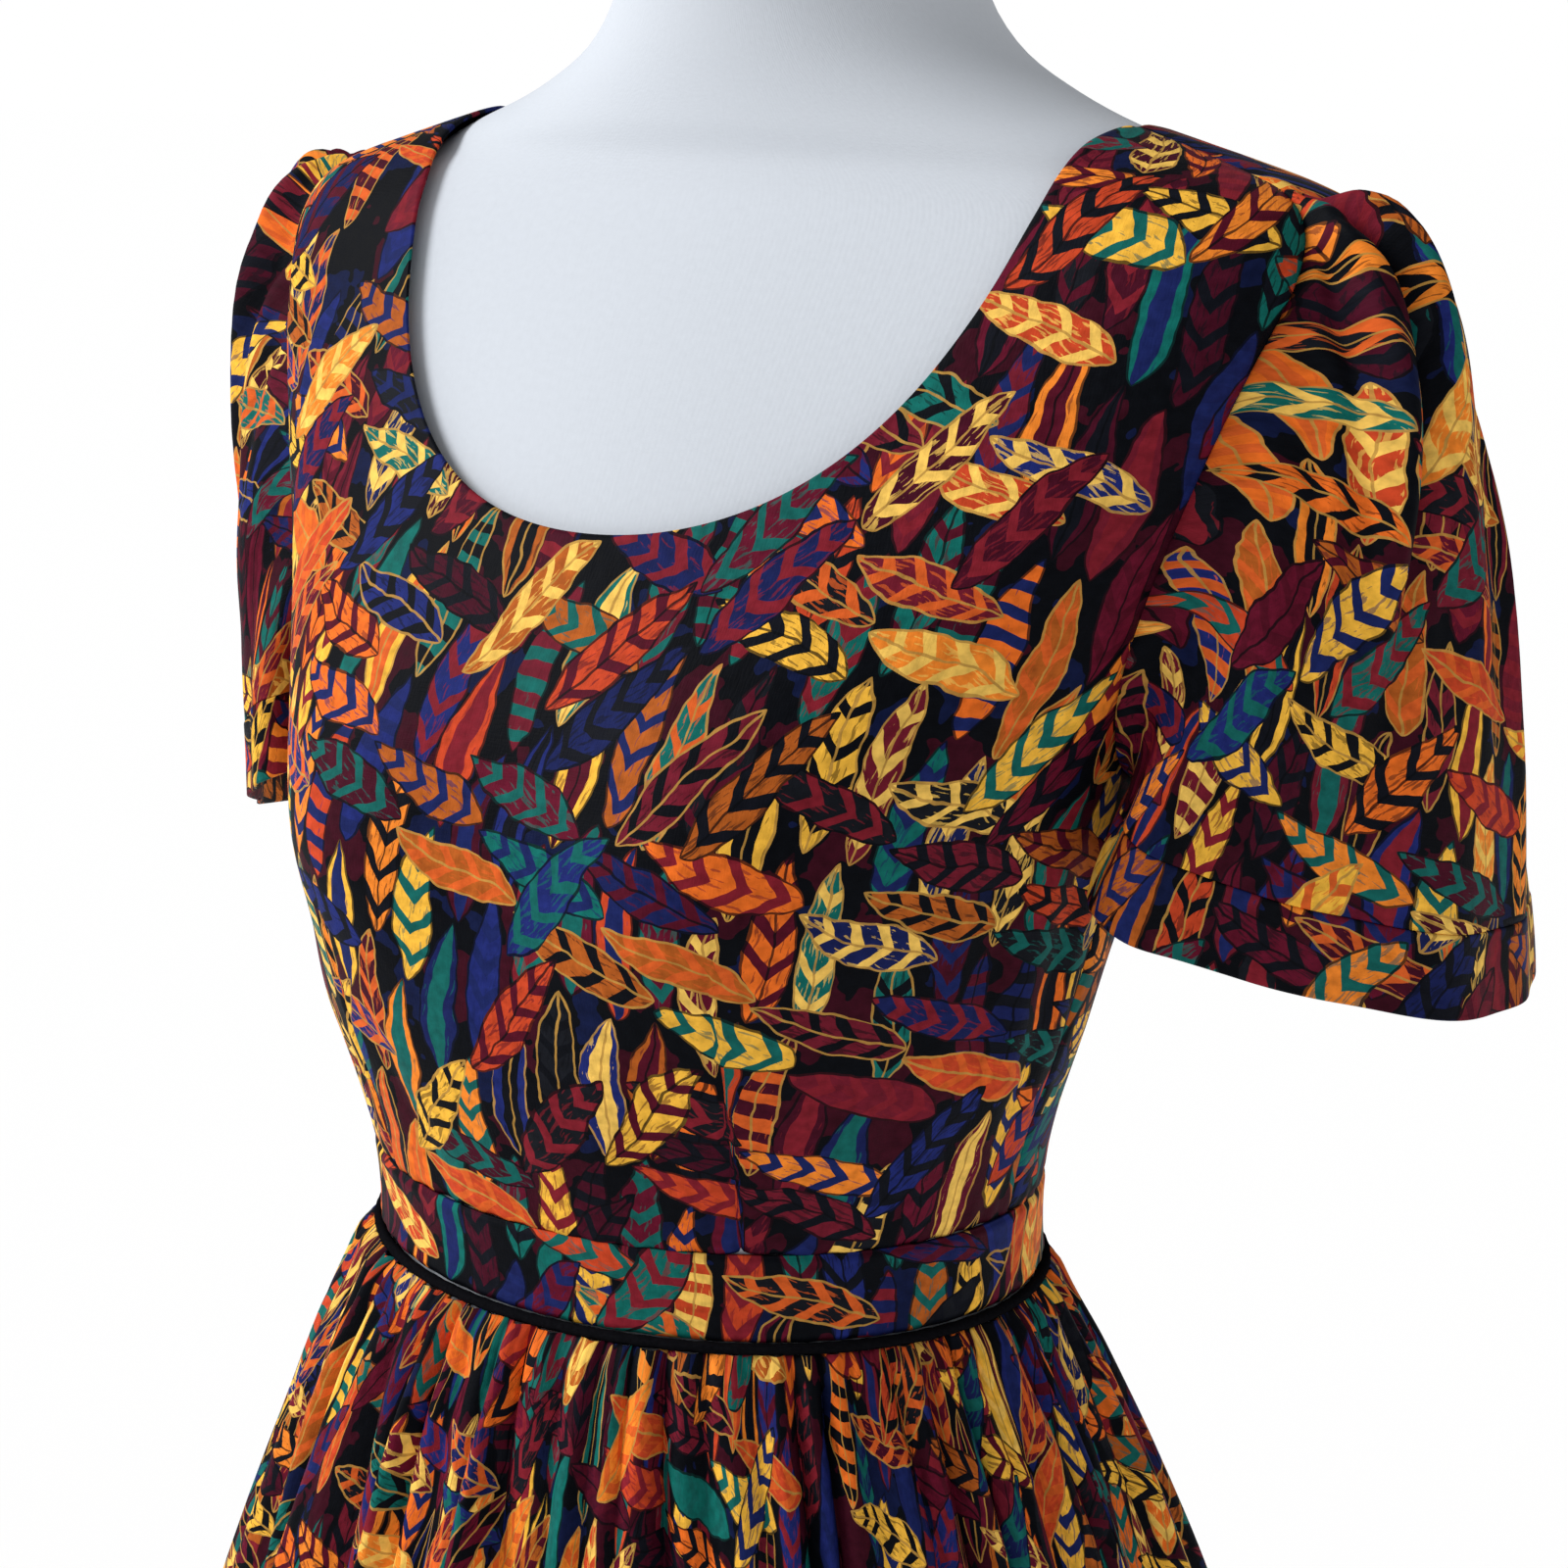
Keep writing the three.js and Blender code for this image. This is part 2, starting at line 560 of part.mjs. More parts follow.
// The way out of the sleeve: half its slope's own, half straight away from the arm's line, so
// that neither a gather nor the wall ever crosses itself.
const ARMHOLE_CENTRE = new THREE.Vector3(176, 26, 1290);
const WIDE_STEP = 0.03;
function sleeveOut(round, w) {
  const centre = new THREE.Vector3(HEM.x, HEM.y, HEM.z);
  centre.lerp(ARMHOLE_CENTRE, 1 - w);
  const away = onSleeve(round, w).sub(centre).normalize();
  const low = Math.max(w, WIDE_STEP);
  const normal = outward(onSleeve, round, low, WIDE_STEP, WIDE_STEP).negate();
  return away.add(normal).normalize();
}
function onSleeveCloth(round, w, out) {
  return onSleeve(round, w).addScaledVector(sleeveOut(round, w), sleeveRelief(round, w) + out);
}

// Places along one line of the sleeve, from its seam to its hem, by length.
const LINE_STEPS = 24;
function sleeveLine(round) {
  return evenly((w) => onSleeve(round, w), LINE_STEPS);
}

const SLEEVE_COLUMNS = 44;
const CAP_COLUMNS = 32;
// Shares of each sleeve line between the hem band and the cap seam.
const SLEEVE_ROWS = [1, 0.84, 0.65, 0.46, 0.3, 0.18, 0.09, 0.035, 0];
const CUFF_DEEP = 28;
const CUFF_GAP = 0.6;
// Columns stand closer where the cap is gathered.
function roundAt(u) {
  const gathered = CAP_COLUMNS / SLEEVE_COLUMNS;
  const before = (1 - gathered) / 2;
  if (u < before) return (u / before) * CAP.from;
  if (u > 1 - before) return 1 - ((1 - u) / before) * CAP.from;
  return mix(CAP.from, CAP.to, (u - before) / gathered);
}
function sleeveWall(rows, lengthAt, cloth) {
  const lines = [];
  for (let i = 0; i < SLEEVE_COLUMNS; i++) lines.push(sleeveLine(roundAt(i / SLEEVE_COLUMNS)));
  return wall(
    (u, v, layer) => {
      const line = lines[Math.round(u * SLEEVE_COLUMNS)];
      const w = line.placeAt(lengthAt(line.total, v));
      return onSleeveCloth(roundAt(u), w, (layer - 0.5) * cloth);
    },
    SLEEVE_COLUMNS,
    rows,
    true,
  );
}
const sleeveSpan = SLEEVE_ROWS.length - 1;
const sleeveLeft = sleeveWall(
  sleeveSpan,
  (total, v) => SLEEVE_ROWS[Math.round(v * sleeveSpan)] * (total - CUFF_DEEP - CUFF_GAP),
  CLOTH,
);
const cuffLeft = sleeveWall(1, (total, v) => total - v * CUFF_DEEP, BAND_CLOTH);

// The dress form: one smooth closed body from below the hips to the top of the neck.
// It is a little smaller than the cloth's own line where the cloth bridges its hollows.
const FORM_COLUMNS = 32;
const FORM_ROWS = FIGURE.length - 1;
const FORM_INSET = { body: 1.4, shoulder: 7 };
function onForm(angle, t) {
  const z = figure.at(t).z;
  const waist = smooth(z, 1000, 1020) * (1 - smooth(z, 1060, 1090));
  const bare = smooth(z, 1390, NECK_POINT_Z);
  const side = Math.sin(angle) ** 2;
  const shoulder = side * smooth(z, 1190, 1300);
  const inset = mix(FORM_INSET.body * (1 - waist), FORM_INSET.shoulder, shoulder) * (1 - bare);
  const normal = outward(onFigure, angle, t, 0.004, 0.5);
  return onFigure(angle, t).addScaledVector(normal, -inset);
}
function formBody() {
  const points = [];
  for (let j = 0; j <= FORM_ROWS; j++)
    for (let i = 0; i < FORM_COLUMNS; i++) {
      const angle = (2 * Math.PI * i) / FORM_COLUMNS;
      points.push(onForm(angle, figure.upTo(FIGURE[j].z)));
    }
  const at = (i, j) => j * FORM_COLUMNS + (i % FORM_COLUMNS);
  const triangles = [];
  for (let j = 0; j < FORM_ROWS; j++)
    for (let i = 0; i < FORM_COLUMNS; i++) {
      triangles.push(at(i, j), at(i + 1, j), at(i + 1, j + 1));
      triangles.push(at(i, j), at(i + 1, j + 1), at(i, j + 1));
    }
  const bottom = points.push(new THREE.Vector3(0, 0, FIGURE[0].z)) - 1;
  const top = points.push(new THREE.Vector3(0, FIGURE.at(-1).middle, FIGURE.at(-1).z)) - 1;
  for (let i = 0; i < FORM_COLUMNS; i++) {
    triangles.push(bottom, at(i + 1, 0), at(i, 0));
    triangles.push(top, at(i, FORM_ROWS), at(i + 1, FORM_ROWS));
  }
  return solidFrom(points, triangles);
}

// A turned piece from [radius, height] pairs that start and end on the axis, bottom first.
function turned(profile, sides) {
  const outline = profile.map(([radius, z]) => new THREE.Vector2(radius, z));
  return new THREE.LatheGeometry(outline, sides).rotateX(QUARTER);
}
const NECK_CAP = { round: 54, thick: 9, edge: 3 };
const neckCap = turned(
  [
    [0, 0],
    [NECK_CAP.round, 0],
    [NECK_CAP.round, NECK_CAP.thick - NECK_CAP.edge],
    [NECK_CAP.round - NECK_CAP.edge, NECK_CAP.thick],
    [0, NECK_CAP.thick + 2],
  ],
  28,
);
const BASE = { round: 190, thick: 12, collarRound: 26, collarTop: 62 };
const POLE_ROUND = 14;
const standBase = turned(
  [
    [0, 0],
    [BASE.round - 3, 0],
    [BASE.round, 3],
    [BASE.round, BASE.thick - 4],
    [BASE.round - 8, BASE.thick],
    [BASE.collarRound + 8, BASE.thick + 6],
    [BASE.collarRound, BASE.thick + 14],
    [BASE.collarRound, BASE.collarTop - 4],
    [BASE.collarRound - 4, BASE.collarTop],
    [0, BASE.collarTop],
  ],
  32,
);
const poleLength = FIGURE[0].z - BASE.collarTop - 2 * SEAM_GAP;
const standPole = new THREE.CylinderGeometry(POLE_ROUND, POLE_ROUND, poleLength, 20).rotateX(QUARTER);

// Turns a closed geometry into a solid that can be joined and cut, and back.
function asSolid(geometry) {
  const bare = geometry.clone();
  bare.deleteAttribute("normal");
  bare.deleteAttribute("uv");
  const merged = mergeVertices(bare, 1e-4);
  const mesh = new wasm.Mesh({
    numProp: 3,
    vertProperties: merged.attributes.position.array,
    triVerts: new Uint32Array(merged.index.array),
  });
  return new wasm.Manifold(mesh);
}
function asGeometry(solid) {
  const mesh = solid.getMesh();
  const geometry = new THREE.BufferGeometry();
  geometry.setAttribute("position", new THREE.BufferAttribute(mesh.vertProperties, 3));
  geometry.setIndex(new THREE.BufferAttribute(mesh.triVerts, 1));
  geometry.computeVertexNormals();
  return geometry;
}
function rodAlongX(radius, length, sides) {
  return new THREE.CylinderGeometry(radius, radius, length, sides).rotateZ(QUARTER);
}

// The zip's slider at the top of the centre back, with two cheeks that hold a pin.
const SLIDER = { wide: 5.6, tall: 9, thick: 1.6, cheek: 0.8, cheekTall: 3.4, reach: 3.9 };
const PIN = { round: 0.55, out: 3.6 };
function zipSlider() {
  const plate = new THREE.BoxGeometry(SLIDER.wide, SLIDER.thick, SLIDER.tall);
  const pin = rodAlongX(PIN.round, SLIDER.wide - SLIDER.cheek, 12);
  let solid = asSolid(plate.translate(0, SLIDER.thick / 2, 0));
  solid = solid.add(asSolid(pin.translate(0, PIN.out, 0)));
  for (const side of [-1, 1]) {
    const cheek = new THREE.BoxGeometry(SLIDER.cheek, SLIDER.reach, SLIDER.cheekTall);
    const x = (side * (SLIDER.wide - SLIDER.cheek)) / 2;
    const y = (SLIDER.thick + SLIDER.reach) / 2;
    solid = solid.add(asSolid(cheek.translate(x, y, 0)));
  }
  return asGeometry(solid);
}

// The pull tab: a drop-shaped plate under a barrel that turns on the slider's pin.
const PULL = {
  barrel: 1.45,
  bore: 0.95,
  barrelWide: 3.2,
  neck: 1.2,
  wide: 2.9,
  long: 22,
  thick: 1,
  hang: degrees(3),
};
function pullTab() {
  const drop = new THREE.Shape();
  const top = -PULL.bore - 0.15;
  const end = PULL.wide - PULL.long;
  drop.moveTo(-PULL.neck, top);
  drop.bezierCurveTo(-PULL.neck, 0.3 * end, -PULL.wide, 0.5 * end, -PULL.wide, end);
  drop.absarc(0, end, PULL.wide, Math.PI, 2 * Math.PI, false);
  drop.bezierCurveTo(PULL.wide, 0.5 * end, PULL.neck, 0.3 * end, PULL.neck, top);
  const sheet = { depth: PULL.thick, bevelEnabled: false, curveSegments: 6 };
  const tab = new THREE.ExtrudeGeometry(drop, sheet);
  tab.translate(0, 0, -PULL.thick / 2).rotateX(QUARTER);
  const barrel = asSolid(rodAlongX(PULL.barrel, PULL.barrelWide, 20));
  const bore = asSolid(rodAlongX(PULL.bore, 2 * PULL.barrelWide, 16));
  return asGeometry(barrel.add(asSolid(tab)).subtract(bore));
}

// Where the slider sits: just under the top of the centre back seam, flat against the cloth.
const SLIDER_DROP = 9;
const sliderT = figure.upTo(BACK_NECK_Z - SLIDER_DROP);
const sliderPlace = onCloth(Math.PI, sliderT, CLOTH + SEAM_GAP);
const below = onCloth(Math.PI, sliderT - 6, CLOTH + SEAM_GAP);
const sliderLean = Math.atan2(below.y - sliderPlace.y, sliderPlace.z - below.z);

function material(color, roughness, metalness = 0) {
  return new THREE.MeshStandardMaterial({ color, roughness, metalness });
}
const print = material(0x6b2a33, 0.72);
const darkPrint = material(0x1c2227, 0.75);
const jersey = material(0xe8ebf2, 0.85);
const whiteMetal = material(0xdadada, 0.4);
const steel = material(0xb8bcc0, 0.3, 1);
const blackMetal = material(0x202224, 0.35, 0.8);

const dress = new THREE.Group();
function add(name, geometry, look, parent = dress) {
  const mesh = new THREE.Mesh(geometry, look.clone());
  mesh.name = name;
  parent.add(mesh);
  return mesh;
}

add("bodice_front", bodiceFront, print);
add("bodice_back_left", bodiceBackLeft, print);
add("bodice_back_right", mirrored(bodiceBackLeft), print);
add("sleeve_left", sleeveLeft, print);
add("sleeve_right", mirrored(sleeveLeft), print);
add("cuff_left", cuffLeft, print);
add("cuff_right", mirrored(cuffLeft), print);
add("waistband_front", bandFront, print);
add("waistband_back_left", bandBackLeft, print);
add("waistband_back_right", mirrored(bandBackLeft), print);
add("waist_piping", waistPiping(), darkPrint);
add("skirt_front", skirtFront, print);
add("skirt_back_left", skirtBackLeft, print);
add("skirt_back_right", skirtBackRight, print);

add("form_body", formBody(), jersey);
const cap = add("form_neck_cap", neckCap, whiteMetal);
cap.position.set(0, FIGURE.at(-1).middle, FIGURE.at(-1).z + SEAM_GAP);
const pole = add("stand_pole", standPole, steel);
pole.position.z = BASE.collarTop + SEAM_GAP + poleLength / 2;
add("stand_base", standBase, blackMetal);

// The zip's two pieces share one group, which leans with the cloth at the centre back.
const zip = new THREE.Group();
zip.position.copy(sliderPlace);
zip.rotation.x = sliderLean;
dress.add(zip);
add("zip_slider", zipSlider(), blackMetal, zip);
const pull = add("zip_pull", pullTab(), blackMetal, zip);
pull.position.set(0, PIN.out, 0);
pull.rotation.x = -PULL.hang;

export default dress;
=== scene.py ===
# %% [markdown]
# # A fit and flare dress on a dress form
# The part is a woven cotton dress with a scoop neck, short sleeves that are gathered at the
# shoulder, a waistband with a dark piping, and a gathered skirt. It hangs on a limbless form.
# Thin cloth could be simulated, sculpted by hand, or written as a surface. Here each panel is a
# surface with two coordinates, as a maker's pattern is, so the panels meet at their seams.

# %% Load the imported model, which is the frame
import math

import bmesh
import bpy
import numpy as np
from mathutils import Matrix, Vector


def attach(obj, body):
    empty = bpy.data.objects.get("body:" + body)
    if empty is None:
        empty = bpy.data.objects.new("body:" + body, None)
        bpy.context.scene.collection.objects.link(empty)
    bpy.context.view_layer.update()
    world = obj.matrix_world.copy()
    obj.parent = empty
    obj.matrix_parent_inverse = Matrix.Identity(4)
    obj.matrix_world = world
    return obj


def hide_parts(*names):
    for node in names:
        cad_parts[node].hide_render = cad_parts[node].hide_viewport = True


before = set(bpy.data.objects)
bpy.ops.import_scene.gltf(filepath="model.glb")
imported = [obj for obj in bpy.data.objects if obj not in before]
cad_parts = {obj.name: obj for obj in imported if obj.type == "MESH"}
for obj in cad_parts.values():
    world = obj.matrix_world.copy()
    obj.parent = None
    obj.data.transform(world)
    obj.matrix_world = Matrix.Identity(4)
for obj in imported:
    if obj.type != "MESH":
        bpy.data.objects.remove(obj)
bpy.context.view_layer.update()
BODY = "dress_and_form"
MM = 0.001


def in_scene(name, data):
    made = bpy.data.objects.new(name, data)
    bpy.context.scene.collection.objects.link(made)
    return made


def finished(name, shape):
    """The object that a bmesh becomes, shaded smoothly."""
    mesh = bpy.data.meshes.new(name)
    shape.to_mesh(mesh)
    shape.free()
    mesh.shade_smooth()
    return in_scene(name, mesh)


# %% [markdown]
# ## Camera
# The camera stands to the wearer's left and looks slightly down. A camera looks along its own
# -Z axis, so it starts out looking straight down. Three turns aim it: a roll about its own
# axis, then a tilt up towards the level, then the yaw about the upright axis.

# %% The camera
CAMERA_PLACE = Vector((0.5925, -0.8842, 1.4255))
CAMERA_YAW = math.radians(32.87)
CAMERA_PITCH = math.radians(12.97)
CAMERA_ROLL = math.radians(1.03)
CAMERA_LENS, CAMERA_SENSOR, SEEN_TO = 73.52, 36, 60

turns = ((CAMERA_YAW, "Z"), (math.pi / 2 - CAMERA_PITCH, "X"), (CAMERA_ROLL, "Z"))
yaw, tilt, roll = (Matrix.Rotation(angle, 4, axis) for angle, axis in turns)
camera_data = bpy.data.cameras.new("close_view")
camera_data.sensor_width = CAMERA_SENSOR
camera_data.lens = CAMERA_LENS
camera_data.clip_end = SEEN_TO
camera = in_scene("close_view", camera_data)
camera.matrix_world = Matrix.Translation(CAMERA_PLACE) @ yaw @ tilt @ roll
bpy.context.scene.camera = camera
print("camera at", tuple(round(c, 3) for c in CAMERA_PLACE))

# %% [markdown]
# ## The figure under the cloth
# A dress is drafted on a body, so the body comes first. It could be sculpted, but a table says
# more to a maker. Each row gives a height, half the width there, the reach to the front and to
# the back, and how far the middle line leans. A smooth curve runs through the rows. Sizes are
# millimetres, and become metres when a piece is built.

# %% The tables of the figure and of the skirt
HEM_Z, SKIRT_TOP_Z, WAIST_SEAM_Z, BODICE_SEAM_Z = 445, 1020.4, 1025.5, 1056
BUST_Z, UNDERARM_Z, SHOULDER_TIP_Z, NECK_POINT_Z = 1178, 1204, 1384, 1402
FRONT_NECK_Z, BACK_NECK_Z = 1275, 1352
# How far the outside of the cloth lies from its inside, and the inside at least from the body.
CLOTH, BAND_CLOTH, LEAST_EASE = 1.4, 2.2, 0.85
FINE_STEPS = 4000

FIGURE_COLUMNS = ("z", "wide", "front", "back", "middle", "square")
FIGURE = (
    (742, 140, 97, 104, 0, 0),
    (753, 150, 105, 112, 0, 0),
    (785, 156, 110, 119, 0, 0),
    (840, 157, 112, 123, -1, 0),
    (900, 150, 109, 116, -4, 0),
    (955, 136, 104, 106, -8, 0),
    (1000, 121.5, 100, 99, -10, 0),
    (1038, 117, 99, 98, -11, 0),
    (1077, 122, 103, 97, -13, 0),
    (1121, 134, 112, 100, -12, 0),
    (1160, 141, 121, 105, -3, 0.02),
    (1195, 148, 125, 109, 6, 0.05),
    (1230, 156, 121, 111, 13.5, 0.1),
    (1270, 166, 108, 111, 22, 0.17),
    (1305, 175, 96, 108, 28, 0.22),
    (1335, 183, 84, 101, 33, 0.24),
    (1356, 189, 75, 91, 37, 0.23),
    (1370, 191, 69.5, 82, 39.5, 0.19),
    (1379, 188, 65, 74.5, 40.5, 0.14),
    (1384.5, 180, 63, 71.5, 40.5, 0.09),
    (1390, 164, 61.5, 70, 40.5, 0.06),
    (1396, 144, 60.5, 68, 40, 0.03),
    (1402, 123, 60, 66.5, 39.5, 0),
    (1413, 97, 59.5, 65, 38.5, 0),
    (1427, 75, 58.5, 63, 36.5, 0),
    (1446, 62, 57, 61, 34, 0),
    (1480, 57, 56, 59, 30, 0),
    (1518, 56, 55, 58, 26, 0),
)
SKIRT_COLUMNS = ("z", "wide", "front", "back", "middle", "gather", "fold")
SKIRT = (
    (SKIRT_TOP_Z, 124.2, 106.6, 105, -11, 1.9, 0),
    (1006, 130, 112, 111, -11, 2.9, 0.6),
    (984, 141, 121, 121, -10, 3.4, 2.2),
    (945, 156, 134, 137, -7, 3.2, 5),
    (880, 178, 154, 160, -3, 1.9, 9.5),
    (770, 206, 183, 189, 1, 0.5, 15),
    (610, 237, 214, 220, 3, 0, 20.5),
    (HEM_Z, 264, 241, 246, 3, 0, 25),
)


def curve_weights(s):
    """The weights of a cubic curve's start, end, first direction and last direction."""
    return (2 * s**3 - 3 * s**2 + 1, 3 * s**2 - 2 * s**3, s**3 - 2 * s**2 + s, s**3 - s**2)


class SmoothRows:
    """A smooth curve through a table's rows, by the running length of its side outline."""

    def __init__(self, columns, rows):
        self.columns = columns
        self.rows = np.array(rows, float)
        steps = np.diff(self.rows[:, :2], axis=0)
        self.along = np.concatenate([[0], np.cumsum(np.hypot(steps[:, 0], steps[:, 1]))])
        ends = np.arange(len(rows))
        before, after = np.maximum(ends - 1, 0), np.minimum(ends + 1, len(rows) - 1)
        rise = self.rows[after] - self.rows[before]
        self.slopes = rise / (self.along[after] - self.along[before])[:, None]
        self.length = self.along[-1]
        fine = np.linspace(0, self.length, FINE_STEPS)
        heights = self.at(fine)["z"]
        order = 1 if heights[-1] > heights[0] else -1
        self.fine, self.heights = fine[::order], heights[::order]

    def at(self, t):
        t = np.asarray(t, float)
        i = np.clip(np.searchsorted(self.along, t, side="left") - 1, 0, len(self.along) - 2)
        step = self.along[i + 1] - self.along[i]
        s = (t - self.along[i]) / step
        blend = curve_weights(s)
        return {
            name: self.rows[i, k] * blend[0] + self.rows[i + 1, k] * blend[1]
            + step * (self.slopes[i, k] * blend[2] + self.slopes[i + 1, k] * blend[3])
            for k, name in enumerate(self.columns)
        }

    def up_to(self, z):
        return np.interp(z, self.heights, self.fine)


figure = SmoothRows(FIGURE_COLUMNS, FIGURE)
skirt = SmoothRows(SKIRT_COLUMNS, SKIRT)
print(f"figure's side is {figure.length:.0f} mm long, the skirt's {skirt.length:.0f} mm")

# %% [markdown]
# ## Surfaces
# A place on the body is an angle round it, 0 at the centre front and a quarter turn at the
# wearer's left side, and a distance up its side. numpy works out thousands of places at once.
# The bust is two soft swellings. Cloth lies a little off the body, straight away from it.

# %% Places on the body and on its cloth
CUP_OUT, CUP_SIDEWAYS, CUP_ABOVE, CUP_BELOW = 23.5, 0.25, 68, 46
CUP_ANGLE, CUP_SPREAD = math.radians(31), math.radians(23)
# The cloth spans the hollow under the bust, and is a little loose from there to the shoulder.
HOLLOW_Z, HOLLOW_TALL, HOLLOW_EASE, LOOSE_EASE = 1105, 34, 3.2, 1.6
QUARTER = math.pi / 2
SMALL_STEPS = (0.004, 0.5)


def mix(a, b, share):
    return a + (b - a) * share


def smooth(x, low, high):
    s = np.clip((np.asarray(x, float) - low) / (high - low), 0, 1)
    return s * s * (3 - 2 * s)


def bell(x):
    return np.exp(-(x**2))


def stacked(*parts):
    return np.stack(np.broadcast_arrays(*parts), axis=-1)


def unit(v):
    return v / np.maximum(np.linalg.norm(v, axis=-1, keepdims=True), 1e-9)


def on_section(row, angle):
    depth = np.where(np.cos(angle) > 0, row["front"], row["back"])
    reach = 1 + row.get("square", 0) * (np.sin(2 * angle) * np.sin(angle)) ** 2
    x = reach * row["wide"] * np.sin(angle)
    return stacked(x, row["middle"] - reach * depth * np.cos(angle), row["z"])


def on_figure(angle, t):
    row = figure.at(t)
    point = on_section(row, angle)
    off = row["z"] - BUST_Z
    height = off / np.where(off > 0, CUP_ABOVE, CUP_BELOW)
    swell = sum(bell((angle - side * CUP_ANGLE) / CUP_SPREAD) for side in (-1, 1))
    cup = CUP_OUT * swell * bell(height)
    point[..., 0] += CUP_SIDEWAYS * cup * np.sin(angle)
    point[..., 1] -= cup * np.cos(angle)
    return point


def run_along(path):
    """The running length along a line of points, or along many lines side by side."""
    steps = np.linalg.norm(np.diff(path, axis=0), axis=-1)
    return np.concatenate([np.zeros((1, *steps.shape[1:])), np.cumsum(steps, axis=0)])


def outward(surface, p, q, step_p, step_q):
    across = surface(p + step_p, q) - surface(p - step_p, q)
    rising = surface(p, q + step_q) - surface(p, q - step_q)
    return unit(np.cross(across, rising))


def ease_at(angle, z):
    hollow = bell((z - HOLLOW_Z) / HOLLOW_TALL) * np.maximum(0, np.cos(angle))
    loose = smooth(z, 1060, 1120) * (1 - smooth(z, 1270, 1350))
    return LEAST_EASE + HOLLOW_EASE * hollow + LOOSE_EASE * loose


def on_cloth(angle, t, out):
    normal = outward(on_figure, angle, t, *SMALL_STEPS)
    lift = ease_at(angle, figure.at(t)["z"]) + out
    return on_figure(angle, t) + normal * np.asarray(lift)[..., None]


girth = np.linspace(-math.pi, math.pi, 400)
ring = on_cloth(girth, figure.up_to((WAIST_SEAM_Z + BODICE_SEAM_Z) / 2), BAND_CLOTH)
print(f"waistband girth {run_along(ring)[-1]:.0f} mm")

# %% [markdown]
# ## From a surface to a piece of cloth
# Each panel starts as a flat grid, as cloth does. Its columns and rows become the two
# coordinates, and every vertex moves to its place. A UV map in metres of flat cloth lets the
# print follow the cloth. Faces are turned away from the body's line, and Solidify gives the
# wall. Rows crowd towards the edges, where a seam pulls the cloth in.

# %% Build a piece from a surface function
BODY_LINE = (0, 0.01)


def crowded(share, pull=0.5):
    """A share from 0 to 1 that changes slowly near both ends, or fast where pull is below 0."""
    return share - pull * np.sin(2 * np.pi * share) / (2 * np.pi)


def cloth_piece(name, surface, flat_place, grid, wall=0, wrap=False):
    """surface(u, v) gives millimetres, flat_place(u, v) the place on the flat cloth in metres.
    grid is columns and rows, wall a thickness, and a wrapped piece is joined to itself."""
    shape = bmesh.new()
    bmesh.ops.create_grid(shape, x_segments=grid[0], y_segments=grid[1], size=1)
    shape.verts.ensure_lookup_table()
    share = (np.array([v.co[:2] for v in shape.verts]) + 1) / 2
    points = surface(share[:, 0], share[:, 1]) * MM
    flat = flat_place(share[:, 0], share[:, 1])
    uv = shape.loops.layers.uv.new("cloth")
    for face in shape.faces:
        for loop in face.loops:
            loop[uv].uv = flat[loop.vert.index]
    for vertex, point in zip(shape.verts, points):
        vertex.co = point
    if wrap:
        bmesh.ops.remove_doubles(shape, verts=shape.verts, dist=2e-6)
    shape.normal_update()
    middles = np.array([f.calc_center_median() for f in shape.faces])
    normals = np.array([f.normal for f in shape.faces])
    areas = np.array([f.calc_area() for f in shape.faces])
    away = middles[:, :2] - BODY_LINE
    if (np.einsum("ij,ij->i", normals[:, :2], away) * areas).sum() < 0:
        bmesh.ops.reverse_faces(shape, faces=shape.faces)
    piece = finished(name, shape)
    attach(piece, BODY)
    print(f"{name}: {len(piece.data.polygons)} faces, {areas.sum():.3f} square metres of cloth")
    if wall:
        solidify = piece.modifiers.new("wall", "SOLIDIFY")
        solidify.thickness = wall * MM
        solidify.offset = -1
    return piece


# %% [markdown]
# ## Soft creases
# Worn cotton is never smooth. Noise could crumple it, but real creases run somewhere: from the
# bust to the armhole, up from the waist seam, out of the gathers. Each mark below is a straight
# trough between two places, with a low rim beside it, and fades at its ends.

# %% Troughs along given lines
RIM_HIGH, RIM_AWAY = 0.35, 1.9
# Size, width, height, share of the shift and start of each wave that makes cloth uneven.
UNEVEN_WAVES = (
    (0.34, 17, 41, 1, 0), (0.28, 29, -23, 2.1, 1.3), (0.17, 9.5, 13, 0.7, 4.0))
# Places round the body are in degrees times this, so that both directions are millimetres.
MM_PER_DEGREE = 2.3


def creases(marks, across, rising):
    relief = np.zeros(np.broadcast(across, rising).shape)
    for a0, z0, a1, z1, half, deep in marks:
        run = math.hypot(a1 - a0, z1 - z0)
        along = ((across - a0) * (a1 - a0) + (rising - z0) * (z1 - z0)) / run**2
        kept = np.clip(along, 0, 1)
        off = np.hypot(across - mix(a0, a1, kept), rising - mix(z0, z1, kept))
        fade = np.sin(np.pi * (0.06 + 0.88 * kept)) ** 0.8
        relief -= deep * fade * bell(off / half)
        relief += RIM_HIGH * deep * fade * bell((off - RIM_AWAY * half) / half)
    return relief


def unevenness(across, rising, shift=0.0):
    return sum(size * np.sin(across / wide + rising / tall + part * shift + start)
               for size, wide, tall, part, start in UNEVEN_WAVES)


def seam_dip(distance, deep=0.8, half=2.0):
    return -deep * bell(distance / half)

# %% [markdown]
# ## The bodice
# The front is cut as one piece, with a dart from the waist towards each bust point, and the
# back as two pieces that meet at the zip. A panel is filled between its centre line, waist,
# side edge and neckline. The side edge runs up the side seam, round the armhole and along the
# shoulder. Bezier curves draw the armhole and the neckline, as a curved ruler does.

